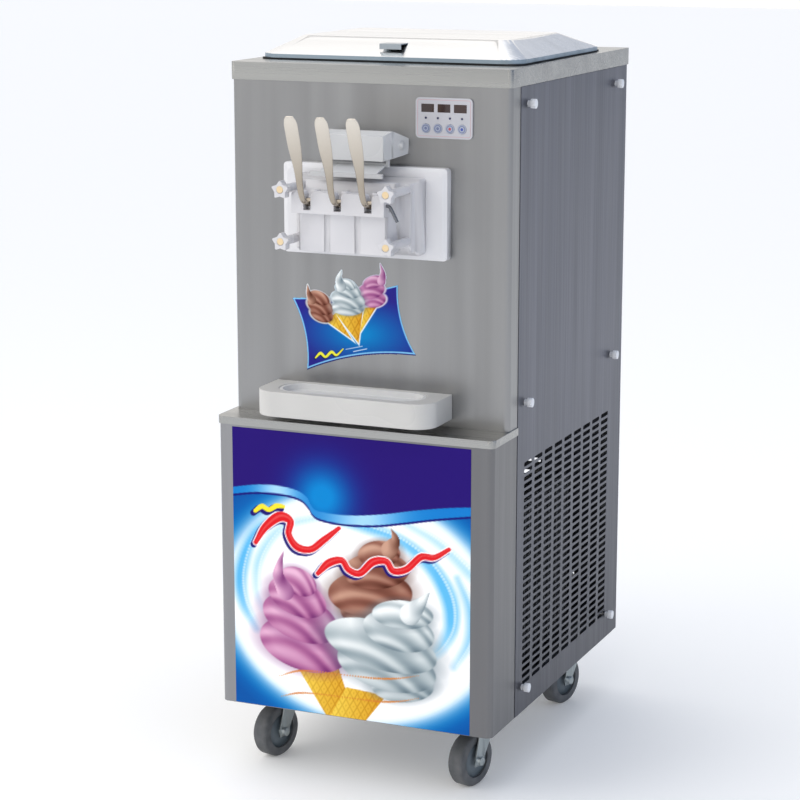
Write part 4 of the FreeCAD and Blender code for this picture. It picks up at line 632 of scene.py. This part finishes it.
CAP_ROUND = 0.0064
CAP_FACE = 0.0060
CAP_THICK = 0.0014
CAP_SUNK = 0.0004
cap_cream = moulded("cap_cream", tone(222, 196, 152), tone(232, 208, 168), 0.35, 0.5)
for level in ("upper", "lower"):
    for side in ("left", "right"):
        knob = frame["nodes"][f"star_knob_{level}_{side}"]
        low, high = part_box(knob.name)
        disc = bmesh.new()
        bmesh.ops.create_cone(disc, cap_ends=True, segments=40, radius1=CAP_ROUND,
                              radius2=CAP_FACE, depth=CAP_THICK)
        bmesh.ops.rotate(disc, verts=disc.verts, matrix=Matrix.Rotation(math.pi / 2, 3, "X"))
        bmesh.ops.translate(disc, verts=disc.verts,
                            vec=((low.x + high.x) / 2, low.y + CAP_SUNK, (low.z + high.z) / 2))
        cap = piece_of(f"cap_{level}_{side}", disc, cap_cream)
        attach(cap, knob["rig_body"])


# The switch housing and the flap under it are moulded in a glossier white than the door.
# They are one family of parts, so they share one plastic.

eased(moulded("housing_abs", tone(197, 198, 199), tone(206, 207, 208), 0.22, 0.32,
              Coat_Weight=0.12), "switch_housing", "switch_flap")


# The control panel: a white moulded bezel with a fine printed border, smoked windows, dark lamps
# and four rubber keys, each printed with a ring.

def ring(name, made, loops):
    """A closed band through four loops of as many points: outer, outer, inner and inner."""
    shape = bmesh.new()
    rounds = [[shape.verts.new(point) for point in loop] for loop in loops]
    for near, far in zip(rounds, rounds[1:] + rounds[:1]):
        for i in range(len(near)):
            j = (i + 1) % len(near)
            shape.faces.new((near[i], near[j], far[j], far[i]))
    return piece_of(name, shape, made)


PRINT_SUNK = 0.0002
PRINT_PROUD = 0.0001


def printed_ring(name, made, outer, inner, face):
    """A printed ring on a front face, between two outlines of as many points in x and z."""
    back, front = face + PRINT_SUNK, face - PRINT_PROUD
    return ring(name, made, [[(x, y, z) for x, z in line] for line, y in
                             ((outer, back), (outer, front), (inner, front), (inner, back))])


def soft_box(left, right, bottom, top, radius):
    """The outline of a box with round corners, counterclockwise."""
    points = []
    centres = ((right - radius, bottom + radius), (right - radius, top - radius),
               (left + radius, top - radius), (left + radius, bottom + radius))
    for number, (cx, cz) in enumerate(centres):
        for step in range(7):
            turn = math.radians(-90 + 90 * number + 15 * step)
            points.append((cx + radius * math.cos(turn), cz + radius * math.sin(turn)))
    return points


CIRCLE_POINTS = 48


def circle(x, z, radius):
    """A circle's outline, counterclockwise."""
    turns = [math.tau * n / CIRCLE_POINTS for n in range(CIRCLE_POINTS)]
    return [(x + radius * math.cos(turn), z + radius * math.sin(turn)) for turn in turns]


eased(moulded("bezel_abs", tone(176, 176, 182), tone(188, 188, 194), 0.24, 0.34), "control_bezel")
dress(moulded("smoked_window", tone(44, 26, 22), tone(58, 36, 30), 0.06, 0.12, Coat_Weight=0.5),
      "display_windows")
dress(moulded("lamp_lens", tone(52, 54, 80), tone(72, 74, 102), 0.15, 0.25), "indicator_lamps")
eased(moulded("key_grey", tone(140, 148, 168), tone(164, 171, 190), 0.4, 0.55),
      "button_1", "button_2", "button_3", "button_4")
low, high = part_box("control_bezel")
outer, inner = (soft_box(low.x + inset, high.x - inset, low.z + inset, high.z - inset, radius)
                for inset, radius in ((0.0035, 0.004), (0.0042, 0.0033)))
border_ink = moulded("border_ink", tone(196, 150, 158), tone(206, 162, 168), 0.4, 0.5)
border = printed_ring("bezel_border", border_ink, outer, inner, low.y)
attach(border, "cabinet")
key_ink = moulded("key_ink", tone(92, 100, 134), tone(110, 118, 150), 0.45, 0.55)
red_ink = moulded("red_ink", tone(170, 54, 60), tone(190, 70, 74), 0.45, 0.55)
blue_ink = moulded("blue_ink", tone(40, 60, 150), tone(56, 76, 170), 0.45, 0.55)
for number, mark in ((1, key_ink), (2, key_ink), (3, red_ink), (4, blue_ink)):
    low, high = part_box(f"button_{number}")
    x, z = (low.x + high.x) / 2, (low.z + high.z) / 2
    for part, made, outside, inside in (("ring", key_ink, 0.0062, 0.0050),
                                        ("mark", mark, 0.0024, 0.0004)):
        key_print = printed_ring(f"button_{number}_{part}", made, circle(x, z, outside),
                                 circle(x, z, inside), low.y)
        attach(key_print, frame["nodes"][f"button_{number}"]["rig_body"])


# The drip tray and its lift-out dish, moulded in off-white with well-rounded edges.
# The dish is the tray's plastic coloured a little lighter: painted light against the shade inside the
# tray.

tray_white = moulded("tray_abs", tone(193, 192, 189), tone(199, 198, 195), 0.26, 0.36,
                     Coat_Weight=0.12)
eased(tray_white, "drip_tray", width=0.0022)
# Painted light: the dish is coloured lighter than the tray.
eased(moulded("liner_abs_painted_light", tone(214, 214, 213), tone(221, 221, 220), 0.26, 0.36,
              Coat_Weight=0.12), "drip_liner", width=0.0008)


# The hopper lid: pressed stainless with a folded lip, a handle plate at the front and a dark
# rubber seal under the lip. The lip and the handle plate are coloured a darker blue-grey than the
# lid as painted reflection, and the seal is dark also as painted shadow of the gap under the lip.

LIP_TOP = 1.3294
SEAL_RISE = 0.0028
SEAL_UNDER = 0.0026
SEAL_OUTER = 0.003
SEAL_INNER = 0.011
LIP_ROUND = 0.016
lid, = eased(brushed("lid_polish", tone(222, 222, 222), tone(234, 234, 234), (50, 1, 1), 0.16, 0.28),
             "hopper_lid")
# Painted reflection: the lip is the lid's steel coloured a darker blue-grey.
lid.data.materials.append(brushed("lip_painted_reflection", tone(128, 144, 156), tone(156, 171, 183), (50, 1, 1)))
for face in lid.data.polygons:
    if face.center.z < LIP_TOP:
        face.material_index = 1
# Painted reflection: the handle plate is the lid's steel coloured a darker blue-grey.
eased(brushed("handle_steel_painted_reflection", tone(150, 158, 164), tone(176, 184, 190), (50, 1, 1), 0.22, 0.32),
      "lid_handle")
low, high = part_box("hopper_lid")
seal_loops = []
for inset, rise in ((SEAL_OUTER, 0), (SEAL_OUTER, SEAL_RISE), (SEAL_INNER, SEAL_RISE), (SEAL_INNER, 0)):
    line = soft_box(low.x + inset, high.x - inset, low.y + inset, high.y - inset, LIP_ROUND - inset)
    seal_loops.append([(x, y, low.z - SEAL_UNDER + rise) for x, y in line])
# A rubber seal, dark also as painted shadow of the gap under the lip.
seal_rubber_and_painted_shadow = moulded("seal_rubber_and_painted_shadow", tone(24, 25, 28), tone(38, 39, 42), 0.5, 0.65)
seal_piece = ring("lid_seal", seal_rubber_and_painted_shadow, seal_loops)
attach(seal_piece, frame["nodes"]["hopper_lid"]["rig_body"])


# Four swivel casters: slate-grey rubber tyres moulded onto paler hubs.
# The casters all stand swivelled the same way, so their wheels share an axle direction.

tyre = finish("tyre_rubber", tone(58, 66, 72))
vary(tyre, mottle(tyre, 0.02), "Base Color", tone(74, 77, 80), tone(100, 101, 103))
vary(tyre, mottle(tyre, 0.01), "Roughness", 0.55, 0.75)
relief(tyre, mottle(tyre, 0.0012), 0.00008)
HUB_ROUND = 0.0325
SWIVEL = math.radians(-15)
axle = Vector((math.cos(SWIVEL), math.sin(SWIVEL), 0))
hub_grey = moulded("hub_grey", tone(84, 94, 101), tone(100, 110, 117), 0.4, 0.55)
for wheel in eased(tyre, "caster_wheel_front_left", "caster_wheel_front_right",
                   "caster_wheel_rear_left", "caster_wheel_rear_right"):
    wheel.data.materials.append(hub_grey)
    middle = sum((v.co for v in wheel.data.vertices), Vector()) / len(wheel.data.vertices)
    for face in wheel.data.polygons:
        out = face.center - middle
        if (out - axle * out.dot(axle)).length < HUB_ROUND:
            face.material_index = 1


# The studio: a pale floor under a white sky that is brighter overhead, and dim and bluish behind
# the machine's right. Three weak soft boxes shape the front, the right side and the top.
# The camera stands a little above the machine's middle, to its right.

floor_mesh = bmesh.new()
bmesh.ops.create_grid(floor_mesh, x_segments=1, y_segments=1, size=30)
paper = finish("floor_paper", tone(246, 246, 245), Roughness=0.9, Emission_Strength=0.12)
floor = piece_of("floor", floor_mesh, paper)

studio = bpy.data.worlds.new("studio")
studio.use_nodes = True
nodes, link = studio.node_tree.nodes, studio.node_tree.links.new
facing = nodes.new("ShaderNodeTexCoord")
parts = nodes.new("ShaderNodeSeparateXYZ")
link(facing.outputs["Generated"], parts.inputs["Vector"])
behind = nodes.new("ShaderNodeVectorMath")
behind.operation = "DOT_PRODUCT"
behind.inputs[1].default_value = (0.85, 0.35, 0.4)
link(facing.outputs["Generated"], behind.inputs[0])
sideways = nodes.new("ShaderNodeMapRange")
sideways.inputs["From Min"].default_value = 0.24
sideways.inputs["From Max"].default_value = 0.45
link(behind.outputs["Value"], sideways.inputs["Value"])
shade = nodes.new("ShaderNodeMix")
shade.data_type = "RGBA"
shade.inputs[6].default_value = (1.04, 1.02, 1.0, 1.0)
shade.inputs[7].default_value = (0.36, 0.42, 0.54, 1.0)
link(sideways.outputs["Result"], shade.inputs["Factor"])
overhead = nodes.new("ShaderNodeMapRange")
overhead.inputs["To Min"].default_value = 1.0
overhead.inputs["To Max"].default_value = 1.35
link(parts.outputs["Z"], overhead.inputs["Value"])
link(shade.outputs[2], nodes["Background"].inputs["Color"])
link(overhead.outputs["Result"], nodes["Background"].inputs["Strength"])
scene.world = studio


MIDDLE = Vector((0.0, 0.0, 0.7))


def soft_light(name, place, width, power):
    """A square soft box at place, turned to the machine's middle."""
    lamp = bpy.data.lights.new(name, "AREA")
    lamp.shape = "SQUARE"
    lamp.size = width
    lamp.energy = power
    box = bpy.data.objects.new(name, lamp)
    box.location = place
    box.rotation_euler = (MIDDLE - Vector(place)).to_track_quat("-Z", "Y").to_euler()
    scene.collection.objects.link(box)


soft_light("key_light", (-2.6, -3.2, 3.0), 2.2, 30)
soft_light("fill_light", (3.6, -1.8, 2.0), 2.4, 6)
soft_light("top_light", (0.2, 0.6, 3.8), 2.4, 14)

eye = bpy.data.cameras.new("camera")
eye.lens = 105.69
eye.sensor_width = 36.0
camera = bpy.data.objects.new("camera", eye)
camera.location = (1.6931, -4.0383, 1.6108)
sight = Vector((-0.0357, -0.0086, 0.6692)) - camera.location
camera.rotation_euler = sight.to_track_quat("-Z", "Y").to_euler()
scene.collection.objects.link(camera)
scene.camera = camera
scene.view_settings.view_transform = "Standard"
